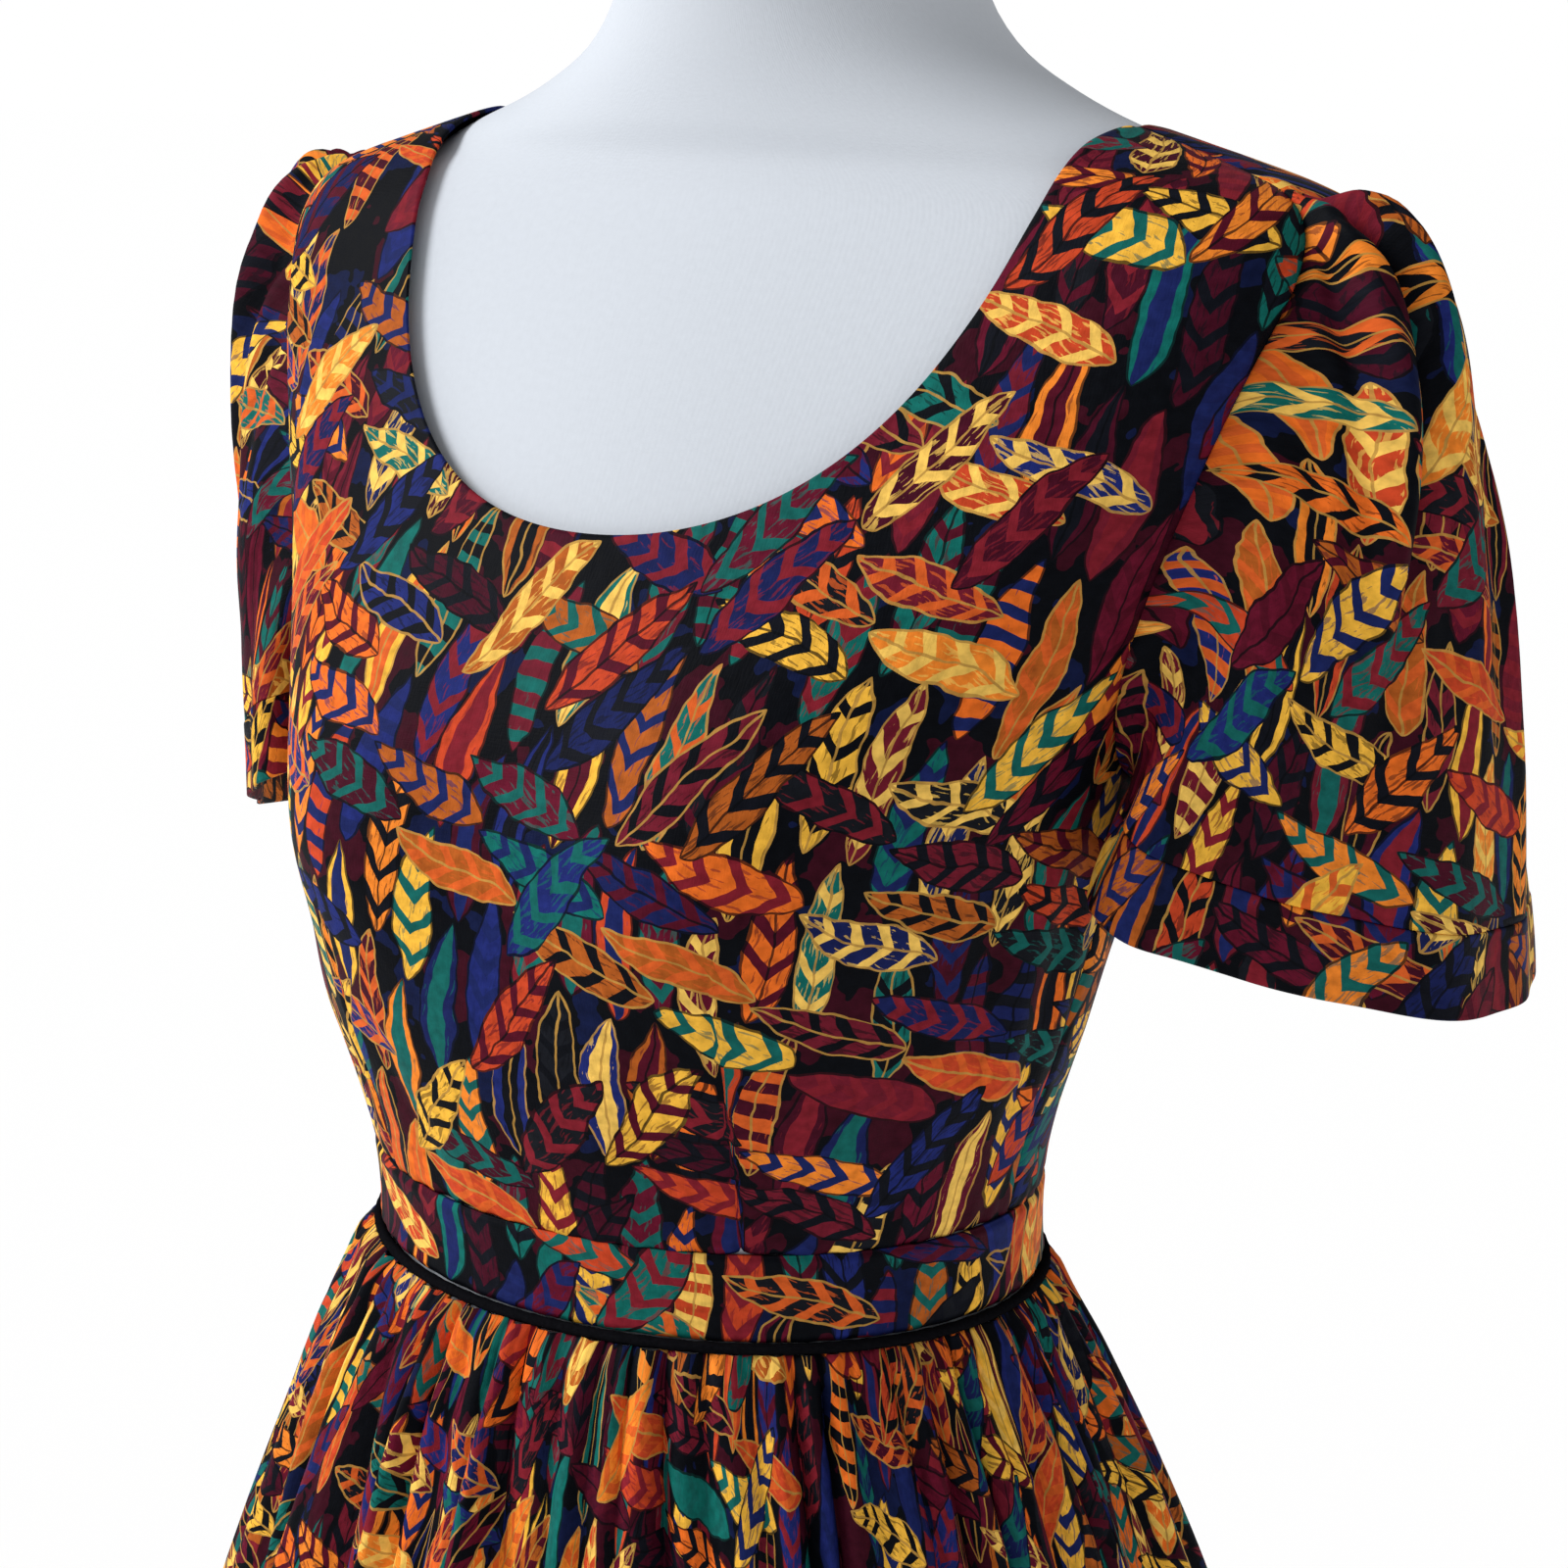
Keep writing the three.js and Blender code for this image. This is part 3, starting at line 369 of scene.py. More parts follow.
# %% Outlines of the bodice panels
waist_t = figure.up_to(BODICE_SEAM_Z)
underarm_t = figure.up_to(UNDERARM_Z)
tip_t = figure.up_to(SHOULDER_TIP_Z)
neck_t = figure.up_to(NECK_POINT_Z)
TIP_ANGLE = math.radians(78)
# Where the armhole's curve is pulled to, low down and high up, and the points of the neckline.
FRONT = {
    "low": math.radians(63), "high": math.radians(59), "high_z": 1356,
    "neck": ((0, FRONT_NECK_Z), (74, FRONT_NECK_Z), (114, 1322)),
}
BACK = {
    "low": math.radians(121), "high": math.radians(118), "high_z": 1358,
    "neck": ((0, BACK_NECK_Z), (78, BACK_NECK_Z), (116, 1362)),
}


def bezier(points, s):
    r = 1 - s
    weights = (r**3, 3 * r * r * s, 3 * r * s * s, s**3)
    return [sum(w * p[k] for w, p in zip(weights, points)) for k in (0, 1)]


def armhole(side, s):
    points = (
        (QUARTER, underarm_t), (side["low"], underarm_t - 3),
        (side["high"], figure.up_to(side["high_z"])), (TIP_ANGLE, tip_t),
    )
    return bezier(points, s)


def angle_at(x, t):
    row = figure.at(t)
    low, high = np.zeros_like(x), np.full_like(x, QUARTER)
    for _ in range(30):
        middle = (low + high) / 2
        short = on_section(row, middle)[..., 0] < x
        low, high = np.where(short, middle, low), np.where(short, high, middle)
    return (low + high) / 2


def neckline(side, s):
    top = (figure.at(neck_t)["wide"], NECK_POINT_Z)
    x, z = bezier((*side["neck"], top), s)
    t = figure.up_to(z)
    angle = np.where(s < 1, angle_at(x, t), QUARTER)
    return (angle if side is FRONT else math.pi - angle), t


for side in (FRONT, BACK):
    s = np.linspace(0, 1, 400)
    run = run_along(on_figure(*neckline(side, s)))
    side["neck_run"] = (run / run[-1], s)
    print(f"half neckline {run[-1]:.0f} mm")

SIDE_SHARE, ARMHOLE_SHARE = 1 / 3, 0.8
RUN_STEPS = 16


def side_edge(side, v):
    low, high = v <= SIDE_SHARE, v >= ARMHOLE_SHARE
    hole = armhole(side, np.clip((v - SIDE_SHARE) / (ARMHOLE_SHARE - SIDE_SHARE), 0, 1))
    top = np.clip((v - ARMHOLE_SHARE) / (1 - ARMHOLE_SHARE), 0, 1)
    angle = np.where(low, QUARTER, np.where(high, mix(TIP_ANGLE, QUARTER, top), hole[0]))
    t = np.where(low, mix(waist_t, underarm_t, v / SIDE_SHARE), hole[1])
    return angle, np.where(high, mix(tip_t, neck_t, top), t)


def half_panel(side, centre, u, v):
    edge = side_edge(side, v)
    neck = neckline(side, np.interp(u, *side["neck_run"]))
    lowest = neckline(side, np.zeros(1))[1][0]
    curved = v**1.5
    across = mix(u, (neck[0] - centre) / (QUARTER - centre), curved)
    rise = mix(u, (neck[1] - lowest) / (neck_t - lowest), curved)
    return mix(centre, edge[0], across), mix(mix(waist_t, lowest, v), edge[1], rise)


def flat_on_body(angle, t, start):
    """The place on flat cloth: the run round the body from a starting angle, and up it."""
    way = [on_figure(mix(start, angle, k / RUN_STEPS), t) for k in range(RUN_STEPS + 1)]
    return stacked(np.sign(angle - start) * run_along(way)[-1], t) * MM

# %% [markdown]
# The dart is a shallow groove. The cloth that it folds away doesn't show, so the print jumps
# across its line, most at the waist. Around it lie the marks of a fitted bodice: drags between
# bust and armhole, and short puckers above the waistband.

# %% The bodice's relief and its panels
DART_WAIST_X, DART_TOP_X, DART_TOP_Z, DART_TAKEN = 69, 74, BUST_Z - 8, 26
PANEL_WIDE, PANEL_TALL, EDGE_FADE, NECK_DIP = 190, 330, 14, (0.7, 1.1)
PANEL_WALL, ZIP_GAP = 1.1, 0.2
FRONT_GRID, BACK_GRID = (300, 150), (88, 136)
CREASE_DEPTH = 1.25
# Each crease: degrees and height of one end, the same of the other, half its width, its depth.
BODICE_MARKS = (
    (52, 1196, 63, 1262, 7, 1.5), (46, 1210, 58, 1292, 9, 1.2),
    (70, 1120, 64, 1196, 8, 1.5), (82, 1085, 80, 1190, 7, 1.3),
    (58, 1075, 55, 1150, 7, 1.0), (20, 1062, 24, 1132, 8, 1.0),
    (-18, 1062, -26, 1120, 8, 1.1), (-60, 1070, -56, 1160, 9, 1.4),
    (-76, 1090, -66, 1190, 8, 1.5), (-50, 1200, -62, 1268, 8, 1.5),
    (2, 1064, 1, 1104, 6, 0.8), (40, 1060, 44, 1090, 5, 0.9),
    (-42, 1060, -47, 1098, 6, 1.0), (60, 1290, 40, 1330, 9, 0.9),
    (-58, 1296, -46, 1345, 9, 0.9), (30, 1240, -8, 1250, 12, 0.6),
    (120, 1080, 128, 1180, 9, 1.3), (150, 1064, 152, 1130, 8, 1.2),
    (-124, 1085, -132, 1190, 9, 1.4), (-154, 1064, -150, 1140, 8, 1.1),
    (112, 1230, 138, 1290, 10, 1.2), (-110, 1226, -136, 1280, 10, 1.2),
    (168, 1200, 150, 1230, 9, 0.8), (-168, 1250, -146, 1270, 9, 0.8),
)
MARKS_IN_MM = [(MM_PER_DEGREE * at, low, MM_PER_DEGREE * to, high, wide, CREASE_DEPTH * deep)
               for at, low, to, high, wide, deep in BODICE_MARKS]


def beside_dart(x, z):
    """How far up the dart a height is, as a share, and how far outside its line a place is."""
    rise = np.clip((z - BODICE_SEAM_Z) / (DART_TOP_Z - BODICE_SEAM_Z), 0, 1)
    return rise, np.abs(x) - mix(DART_WAIST_X, DART_TOP_X, rise)


def dart(x, z):
    rise, off = beside_dart(x, z)
    line = -1.7 * (1 - rise**3) * bell(off / 1.5)
    pulled = -0.6 * (1 - rise) * bell((off - 5) / 5)
    return np.where(z < DART_TOP_Z, line + pulled, 0)


def bodice_relief(angle, z):
    across = np.degrees(angle) * MM_PER_DEGREE
    marks = creases(MARKS_IN_MM, across, z)
    pucker = 0.35 * np.sin(across / 2.3 + 2 * np.sin(across / 31))
    pucker *= bell((z - BODICE_SEAM_Z) / 9)
    return marks + pucker + 0.8 * unevenness(across, z)


def with_seams(relief, edge, v):
    """A panel's relief, faded out near its edges, and the dips of its seams."""
    relief = relief * smooth(edge, 0, EDGE_FADE) * smooth((1 - v) * PANEL_TALL, 0, EDGE_FADE)
    relief += seam_dip(edge) + seam_dip(v * PANEL_TALL)
    return relief + seam_dip((1 - v) * PANEL_TALL, *NECK_DIP)


def front_place(u, v):
    u, v = crowded(u), crowded(v)
    half = np.abs(2 * u - 1)
    angle, t = half_panel(FRONT, 0.0, half, v)
    return np.where(u < 0.5, -angle, angle), t, (1 - half) * PANEL_WIDE, v


def front_surface(u, v):
    angle, t, edge, v = front_place(u, v)
    row = figure.at(t)
    relief = bodice_relief(angle, row["z"]) + dart(row["wide"] * np.sin(angle), row["z"])
    return on_cloth(angle, t, CLOTH + with_seams(relief, edge, v))


def front_flat(u, v):
    angle, t, *_ = front_place(u, v)
    row = figure.at(t)
    rise, off = beside_dart(row["wide"] * np.sin(angle), row["z"])
    place = flat_on_body(angle, t, 0.0)
    place[:, 0] += np.sign(angle) * DART_TAKEN * (1 - rise) * smooth(off, -0.7, 0.7) * MM
    return place


front_bodice = cloth_piece("front_bodice", front_surface, front_flat, FRONT_GRID, PANEL_WALL)


def back_surface(hand):
    def surface(u, v):
        u, v = crowded(u), crowded(v)
        angle, t = half_panel(BACK, math.pi, u, v)
        row = figure.at(t)
        edge = np.minimum(u, 1 - u) * PANEL_WIDE
        relief = with_seams(bodice_relief(hand * angle, row["z"]), edge, v)
        gap = ZIP_GAP / row["wide"]
        point = on_cloth(np.minimum(angle, math.pi - gap), t, CLOTH + relief)
        point[..., 0] *= hand
        return point
    return surface


def back_flat(hand):
    def flat(u, v):
        angle, t = half_panel(BACK, math.pi, crowded(u), crowded(v))
        place = flat_on_body(angle, t, math.pi)
        return stacked(hand * place[:, 0] + 0.7 + 0.4 * hand, place[:, 1] + 0.13)
    return flat


back_left, back_right = [
    cloth_piece(f"back_bodice_{word}", back_surface(hand), back_flat(hand), BACK_GRID, PANEL_WALL)
    for word, hand in (("left", 1), ("right", -1))]

# %% [markdown]
# ## Waistband and piping
# The band is a doubled strip with its seams pressed inside. It stands a little prouder than
# the bodice, with a rolled edge at both seams. The piping is a cord in a bias strip: a tube
# around a line, so the second coordinate of its grid runs round it.

# %% Waistband and piping
BAND_GAP, BAND_WALL, BAND_OUT, BAND_PULL, BAND_ROWS = 0.1, 1.6, BAND_CLOTH + 0.25, 0.7, 26
WAIST_RADIUS = 100


def band_piece(name, start, end, columns, shift):
    low, high = figure.up_to(WAIST_SEAM_Z - BAND_GAP), figure.up_to(BODICE_SEAM_Z - BAND_GAP)

    def place(u, v):
        gap = BAND_GAP / WAIST_RADIUS
        return mix(start + gap, end - gap, crowded(u)), mix(low, high, crowded(v, BAND_PULL))

    def surface(u, v):
        angle, t = place(u, v)
        v = crowded(v, BAND_PULL)
        tall = BODICE_SEAM_Z - WAIST_SEAM_Z
        across = np.degrees(angle) * MM_PER_DEGREE
        relief = 0.45 * unevenness(across, v * tall * 2, 1.7)
        relief += 0.22 * np.sin(across / 2.6 + np.sin(across / 19)) * (1 - smooth(v, 0, 0.4))
        relief += seam_dip(v * tall, 1.3, 1.3) + seam_dip((1 - v) * tall, 1.3, 1.3)
        return on_cloth(angle, t, BAND_OUT + relief)

    def flat(u, v):
        return flat_on_body(*place(u, v), start) + shift

    return cloth_piece(name, surface, flat, (columns, BAND_ROWS), BAND_WALL)


band_front = band_piece("waistband_front_cloth", -QUARTER, QUARTER, 220, (0.03, 0.31))
band_left = band_piece("waistband_left_cloth", QUARTER, math.pi, 110, (0.9, 0.02))
band_right = band_piece("waistband_right_cloth", -math.pi, -QUARTER, 110, (1.7, 0.2))

PIPING_ROUND, PIPING_Z, PIPING_OUT = 1.9, 1023.7, 2.9
PIPING_FLAT, PIPING_GRID = (0.72, 0.012), (360, 12)
PIPING_END = math.pi - 0.003


def piping_surface(u, v):
    t = np.full_like(u, figure.up_to(PIPING_Z))
    angle = mix(-PIPING_END, PIPING_END, u)
    centre = on_cloth(angle, t, PIPING_OUT)
    away = centre - on_cloth(angle, t, 0)
    away[..., 2] = 0
    turn = 2 * np.pi * v
    round_ = PIPING_ROUND * (1 + 0.05 * np.sin(angle * 90 + 3 * np.sin(angle * 7)))
    point = centre + unit(away) * (round_ * np.cos(turn))[..., None]
    point[..., 2] += round_ * np.sin(turn)
    return point


def piping_flat(u, v):
    return stacked(u, v) * PIPING_FLAT


piping = cloth_piece("piping_cloth", piping_surface, piping_flat, PIPING_GRID, wrap=True)

# %% [markdown]
# ## The gathered skirt
# The skirt is cut as straight lengths nearly three times as wide as the waist and drawn up on a
# thread. Fine gathers stand close together at the seam, and run together into wide folds lower
# down. A cosine would make them all alike, so its crests are widened, its valleys narrowed,
# and its size and place drift around the waist.

# %% The skirt's surface and panels
GATHERS, FOLDS = 64, 20
# How far the top edge is tucked in and up, and how tall that stretch is.
TUCK_IN, TUCK_UP, TUCK_TALL = 3.6, 1.7, 2.8
SKIRT_FLAT_WIDE, SKIRT_ROWS, SKIRT_CROWD = 2.05, 104, 1.35
SKIRT_RADIUS, SKIRT_GAP = 115, 0.15 / 110
HEM_STITCH = 22


def crested(phase, sharp):
    """A wave from -1 to 1 with broad crests and narrow valleys."""
    return 2 * ((np.cos(phase) + 1) / 2) ** sharp - 1


def on_skirt(angle, t):
    row = skirt.at(t)
    top = SKIRT_TOP_Z - row["z"]
    # The counts of these waves share no rhythm, so that no two gathers look alike.
    uneven = 0.9 * np.sin(3 * angle + 1) + 0.6 * np.sin(5 * angle + 0.4)
    drift = 0.5 * np.sin(7 * angle + 2)
    lively = 0.8 + 0.35 * np.sin(17 * angle + 0.8) + 0.2 * np.sin(29 * angle + 2.5)
    wander = 1.1 * np.sin(13 * angle + 1.9 + top / 130) + 0.5 * np.sin(23 * angle + top / 60)
    gather = row["gather"] * lively * crested(GATHERS * angle + 0.6 * uneven + wander, 0.62)
    pucker = 0.55 * np.exp(-top / 16) * np.sin(131 * angle + 2 * np.sin(19 * angle))
    middling = 0.5 * row["gather"] * smooth(top, 10, 70) * np.cos(37 * angle + 1.2 * wander)
    size = 0.78 + 0.22 * np.sin(4 * angle + 0.7 * uneven)
    bend = 0.35 * np.sin(9 * angle + top / 190)
    fold = row["fold"] * size * crested(FOLDS * angle + uneven + drift + bend, 0.8)
    rumple = 0.5 * smooth(top, 20, 120) * unevenness(angle * 150, top, 0.6)
    tuck = bell(top / TUCK_TALL)
    lift = gather + pucker + middling + fold + rumple - TUCK_IN * tuck
    away = stacked(np.sin(angle), -np.cos(angle), 0 * angle)
    point = on_section(row, angle) + away * lift[..., None]
    point[..., 2] += TUCK_UP * tuck
    return point


def skirt_piece(name, start, end, columns, shift):
    def place(u, v):
        angle = mix(start + SKIRT_GAP, end - SKIRT_GAP, u)
        return angle, skirt.length * (1 - v) ** SKIRT_CROWD

    def surface(u, v):
        angle, t = place(u, v)
        point = on_skirt(angle, t)
        normal = -outward(on_skirt, angle, t, 0.003, 0.6)
        width = (end - start) * SKIRT_RADIUS
        seam = seam_dip(np.minimum(u, 1 - u) * width, 0.9, 1.6)
        edge = skirt.length - t
        hem = seam_dip(edge, 0.9, 1.6) + seam_dip(edge - HEM_STITCH, 0.5, 1.2)
        return point + normal * (0.7 + seam + hem)[..., None]

    def flat(u, v):
        angle, t = place(u, v)
        across = angle / (2 * math.pi) * SKIRT_FLAT_WIDE
        return stacked(across, -t * MM) + shift

    return cloth_piece(name, surface, flat, (columns, SKIRT_ROWS), PANEL_WALL)


skirt_front = skirt_piece("skirt_front_cloth", -QUARTER, QUARTER, 416, (0.2, 0.05))
skirt_left = skirt_piece("skirt_left_cloth", QUARTER, math.pi, 190, (2.6, 0.4))
skirt_right = skirt_piece("skirt_right_cloth", -math.pi, -QUARTER, 190, (3.1, 0.15))

# %% [markdown]
# ## The sleeves
# A set-in sleeve starts all round the armhole and ends at an oval hem, so its first coordinate
# runs round the arm and its second down it. Each line leaves the armhole and then falls, as a
# cubic curve with a first and a last direction. The cap holds more cloth than the armhole
# takes, and that is gathered over the shoulder, with a few deep folds below.

# %% The sleeve's surface
HEM_PLACE, HEM_LONG, HEM_SHORT = np.array([203, 36, 1150.0]), 87.5, 32
HEM_TURN, HEM_DROP, HEM_TWIST = math.radians(62), 20, -14
ARMHOLE_CENTRE = np.array([176, 26, 1290.0])
CAP_GATHERS, CAP_FROM, CAP_TO = 14, 0.29, 0.71
# Where a fold runs low down, how far it leans at the seam, half its width, depth and reach.
# A ridge has a depth below nothing.
CAP_FOLDS = (
    (0.447, 0.07, 0.015, 15, 1), (0.482, 0.07, 0.028, -7.5, 0.6),
    (0.412, 0.06, 0.015, -4, 0.8), (0.385, 0.05, 0.013, 5, 1),
    (0.34, 0.03, 0.016, 3.4, 1), (0.53, 0, 0.011, 3, 0.3),
    (0.575, -0.04, 0.017, 6, 0.6), (0.545, -0.04, 0.02, -2.5, 0.45),
    (0.625, -0.03, 0.013, 3.2, 0.5), (0.67, -0.02, 0.014, 2.6, 0.5),
)
FORWARD_DRIFT = 0.05
# How far a line keeps to its first and its last direction: under the arm, and over the shoulder.
LEAVING, ARRIVING = (30, 250), (40, 170)
UNDERARM_LEAN, CAP_RISE, CAP_FORWARD, FALL_OUT, FALL_BACK = 0.12, 3, 0.3, 0.2, 0.1
# Steps that find a direction: at the seam, over the shoulder, and lower down the sleeve.
SEAM_STEP, CAP_STEP, SLEEVE_STEP = 0.004, 0.05, 0.03
ARM_ROUND, ARM_CREASES = 430, 1.4
SLEEVE_MARKS = (
    (90, 20, 130, 120, 9, 2), (150, 60, 170, 170, 10, 1.8), (60, 10, 70, 70, 7, 1.4),
    (290, 30, 270, 130, 10, 2), (340, 20, 330, 90, 9, 1.6), (230, 90, 236, 200, 12, 1.6),
    (190, 120, 206, 205, 9, 1.3), (110, 90, 118, 160, 8, 1.2), (380, 10, 372, 50, 7, 1),
)


def armhole_point(round_, out):
    turn = round_ - np.floor(round_)
    front, back = armhole(FRONT, turn * 2), armhole(BACK, (1 - turn) * 2)
    ahead_half = turn <= 0.5
    angle = np.where(ahead_half, front[0], back[0])
    return on_cloth(angle, np.where(ahead_half, front[1], back[1]), out)


def seam_frame(round_, stretch):
    ends = (round_ - stretch, round_ + stretch)
    normal = unit(sum(armhole_point(e, CLOTH) - armhole_point(e, 0) for e in ends))
    along = armhole_point(ends[1], 0) - armhole_point(ends[0], 0)
    return normal, unit(np.cross(along, normal))


def sleeve_start(round_):
    cap = np.sin(np.pi * round_) ** 2
    near_normal, near_hole = seam_frame(round_, SEAM_STEP)
    stretch = mix(SEAM_STEP, CAP_STEP, cap**4)
    normal, hole = seam_frame(round_, stretch)
    lean = mix(UNDERARM_LEAN, 1, smooth(cap, 0, 0.55))
    way = hole * lean[..., None] + normal * mix(1, CAP_RISE, cap**4)[..., None]
    way[..., 1] *= mix(1, CAP_FORWARD, cap)
    before, here, after = [
        armhole_point(round_ + step, CLOTH / 2) for step in (-stretch, 0, stretch)]
    edge = here - 0.5 * (near_hole + near_normal)
    eased = (before + 2 * here + after) / 4 + 0.5 * near_hole
    return {"round": round_, "edge": edge, "eased": eased, "way": unit(way), "cap": cap}


def on_sleeve(start, w):
    """Places on the sleeve: one row for each line of start, one column for each w."""
    w = np.asarray(w)[..., None]
    turn = (2 * np.pi * start["round"])[:, None]
    phase = turn - HEM_TURN
    long_way, short_way = -HEM_LONG * np.cos(phase), -HEM_SHORT * np.sin(phase)
    end = HEM_PLACE + stacked(
        long_way * math.cos(HEM_TURN) - short_way * math.sin(HEM_TURN),
        long_way * math.sin(HEM_TURN) + short_way * math.cos(HEM_TURN),
        HEM_DROP * np.cos(phase) + HEM_TWIST * np.sin(phase))
    falls = stacked(-FALL_OUT * np.cos(turn), FALL_BACK * np.sin(turn), -np.ones_like(turn))
    cap = start["cap"][:, None, None]
    begin = mix(start["edge"][:, None, :], start["eased"][:, None, :], smooth(w, 0, 0.1))
    at_start, at_end, leave, arrive = curve_weights(w)
    return (begin * at_start + end * at_end
            + start["way"][:, None, :] * mix(*LEAVING, cap) * leave
            + falls * mix(*ARRIVING, cap) * arrive)


def sleeve_out(starts, w):
    """The way out: half the slope's own, half straight away from the arm's line."""
    here = on_sleeve(starts[0], w)
    centre = mix(ARMHOLE_CENTRE, HEM_PLACE, np.asarray(w)[..., None])
    low = np.maximum(w, SLEEVE_STEP)
    across = on_sleeve(starts[2], low) - on_sleeve(starts[1], low)
    down = on_sleeve(starts[0], low + SLEEVE_STEP) - on_sleeve(starts[0], low - SLEEVE_STEP)
    return here, unit(unit(here - centre) - unit(np.cross(across, down)))


def sleeve_relief(round_, w, run, seed):
    near = smooth(round_, CAP_FROM, CAP_FROM + 0.05) * (1 - smooth(round_, CAP_TO - 0.05, CAP_TO))
    count = CAP_GATHERS / (CAP_TO - CAP_FROM)
    shift = 0.8 * np.sin(31 * round_ + seed)
    deep = mix(0.6, 1.2, smooth(w, 0, 0.07)) * (1 - smooth(w, 0.1, 0.42))
    lively = 0.75 + 0.4 * np.sin(47 * round_ + seed)
    relief = near * deep * lively * crested(2 * np.pi * count * (round_ - 0.5) + shift, 0.7)
    for at, lean, half, depth, reach in CAP_FOLDS:
        bent = at + lean * np.exp(-w / 0.12) - FORWARD_DRIFT * w
        bent = bent + 0.006 * np.sin(8 * w + 40 * at + seed)
        off = (round_ - bent) / (half * (1 + 1.2 * w))
        fade = smooth(w, 0, 0.07) * (1 - smooth(w, 0.25 * reach, reach))
        relief -= depth * fade * np.exp(-np.abs(off) ** 1.6)
    relief += 3.4 * smooth(w, 0.35, 0.95) * np.cos(2 * np.pi * 4 * round_ + 0.8)
    relief += 1.2 * smooth(w, 0.3, 0.9) * np.sin(2 * np.pi * 9 * round_ + seed)
    across = round_ * ARM_ROUND
    relief += ARM_CREASES * creases(SLEEVE_MARKS, across, run)
    return relief + 0.9 * unevenness(across, run, seed)

# %% [markdown]
# The sleeve's lines are measured, so that the hem band is equally deep all round and the
# grid's rows fall evenly. The right sleeve is the left one mirrored, with its own creases.

# %% Sleeves and their hem bands
CUFF_DEEP, CUFF_WALL = 28, 1.5
SLEEVE_COLUMNS, SLEEVE_ROWS, CUFF_ROWS, LINE_STEPS = 208, 104, 20, 80
# The grid's columns stand closer together over the shoulder, where the gathers are.
SHOULDER_PULL = -0.32


def sleeve_piece(name, hand, seed, rows, lengths, relief_of, shift, wall):
    rounds = crowded(np.linspace(0, 1, SLEEVE_COLUMNS + 1)[:-1], SHOULDER_PULL)
    starts = [sleeve_start(r) for r in (rounds, rounds - SLEEVE_STEP, rounds + SLEEVE_STEP)]
    fine = np.linspace(0, 1, LINE_STEPS)
    lines = on_sleeve(starts[0], np.broadcast_to(fine, (len(rounds), LINE_STEPS)))
    runs = run_along(lines.swapaxes(0, 1)).T
    shares = np.linspace(0, 1, rows + 1)
    wanted = np.array([lengths(run[-1], shares) for run in runs])
    w = np.array([np.interp(want, run, fine) for want, run in zip(wanted, runs)])
    here, out = sleeve_out(starts, w)
    lift = relief_of(rounds[:, None], w, wanted, shares[None, :], seed)
    places = here + out * lift[..., None]
    places = np.concatenate([places, places[:1]])
    places[..., 0] *= hand

    def cell(u, v):
        return np.rint(u * SLEEVE_COLUMNS).astype(int), np.rint(v * rows).astype(int)

    def surface(u, v):
        return places[cell(u, v)]

    def flat(u, v):
        i, j = cell(u, v)
        i = i % SLEEVE_COLUMNS
        across = hand * crowded(u, SHOULDER_PULL) * ARM_ROUND
        return stacked(across, runs[i, -1] - wanted[i, j]) * MM + shift

    return cloth_piece(name, surface, flat, (SLEEVE_COLUMNS, rows), wall, wrap=True)


def sleeve_lengths(total, shares):
    return (total - CUFF_DEEP) * crowded(1 - shares, 0.35)


def cuff_lengths(total, shares):
    return total - CUFF_DEEP * crowded(shares, 0.7)


def sleeve_look(rounds, w, run, shares, seed):
    relief = sleeve_relief(rounds, w, run, seed) * smooth(run, -1, 10)
    return relief + 0.7 + seam_dip(run, 0.6, 1.5)


def cuff_look(rounds, w, run, shares, seed):
    relief = sleeve_relief(rounds, w, run, seed)
    edges = seam_dip(shares * CUFF_DEEP, 0.9, 0.9) + seam_dip((1 - shares) * CUFF_DEEP, 1.2, 1.1)
    return relief + 1.2 + edges


sleeves, cuffs = [], []
for word, hand, seed in (("left", 1, 0.4), ("right", -1, 2.2)):
    sleeves.append(sleeve_piece(
        f"sleeve_{word}_cloth", hand, seed, SLEEVE_ROWS, sleeve_lengths, sleeve_look,
        (1.9 + hand * 0.4, 0.3), PANEL_WALL))
    cuffs.append(sleeve_piece(
        f"cuff_{word}_cloth", hand, seed, CUFF_ROWS, cuff_lengths, cuff_look,
        (2.4 + hand * 0.7, 0.9), CUFF_WALL))

# %% [markdown]
# ## The form and its stand
# The form is a moulded body in a fitted white jersey cover, on the figure's own rows, with its
# underside closed by a flat fill. The stand's parts are turned pieces: an outline swept round
# an axis with Spin, whose ends are merged.

# %% The jersey-covered form
# Under the cloth the cover stays this far inside the figure: in general, and at the armholes.
FORM_INSET, ARMHOLE_INSET = 1.4, 7
FORM_FLAT_WIDE, FORM_GRID = 0.85, (168, 150)


def on_form(angle, t):
    z = figure.at(t)["z"]
    waist = smooth(z, 1000, 1020) * (1 - smooth(z, 1060, 1090))
    bare = smooth(z, 1390, NECK_POINT_Z)
    shoulder = np.sin(angle) ** 2 * smooth(z, 1190, 1300)
    inset = mix(FORM_INSET * (1 - waist), ARMHOLE_INSET, shoulder) * (1 - bare)
    normal = outward(on_figure, angle, t, *SMALL_STEPS)
    return on_figure(angle, t) - normal * inset[..., None]


def form_surface(u, v):
    return on_form(np.pi * (2 * u - 1), figure.length * v)


def form_flat(u, v):
    return stacked(u * FORM_FLAT_WIDE, v * figure.length * MM)


form = cloth_piece("jersey_form", form_surface, form_flat, FORM_GRID, wrap=True)
shape = bmesh.new()
shape.from_mesh(form.data)
bmesh.ops.holes_fill(shape, edges=[e for e in shape.edges if e.is_boundary], sides=0)
shape.to_mesh(form.data)
shape.free()
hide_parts("form_body")

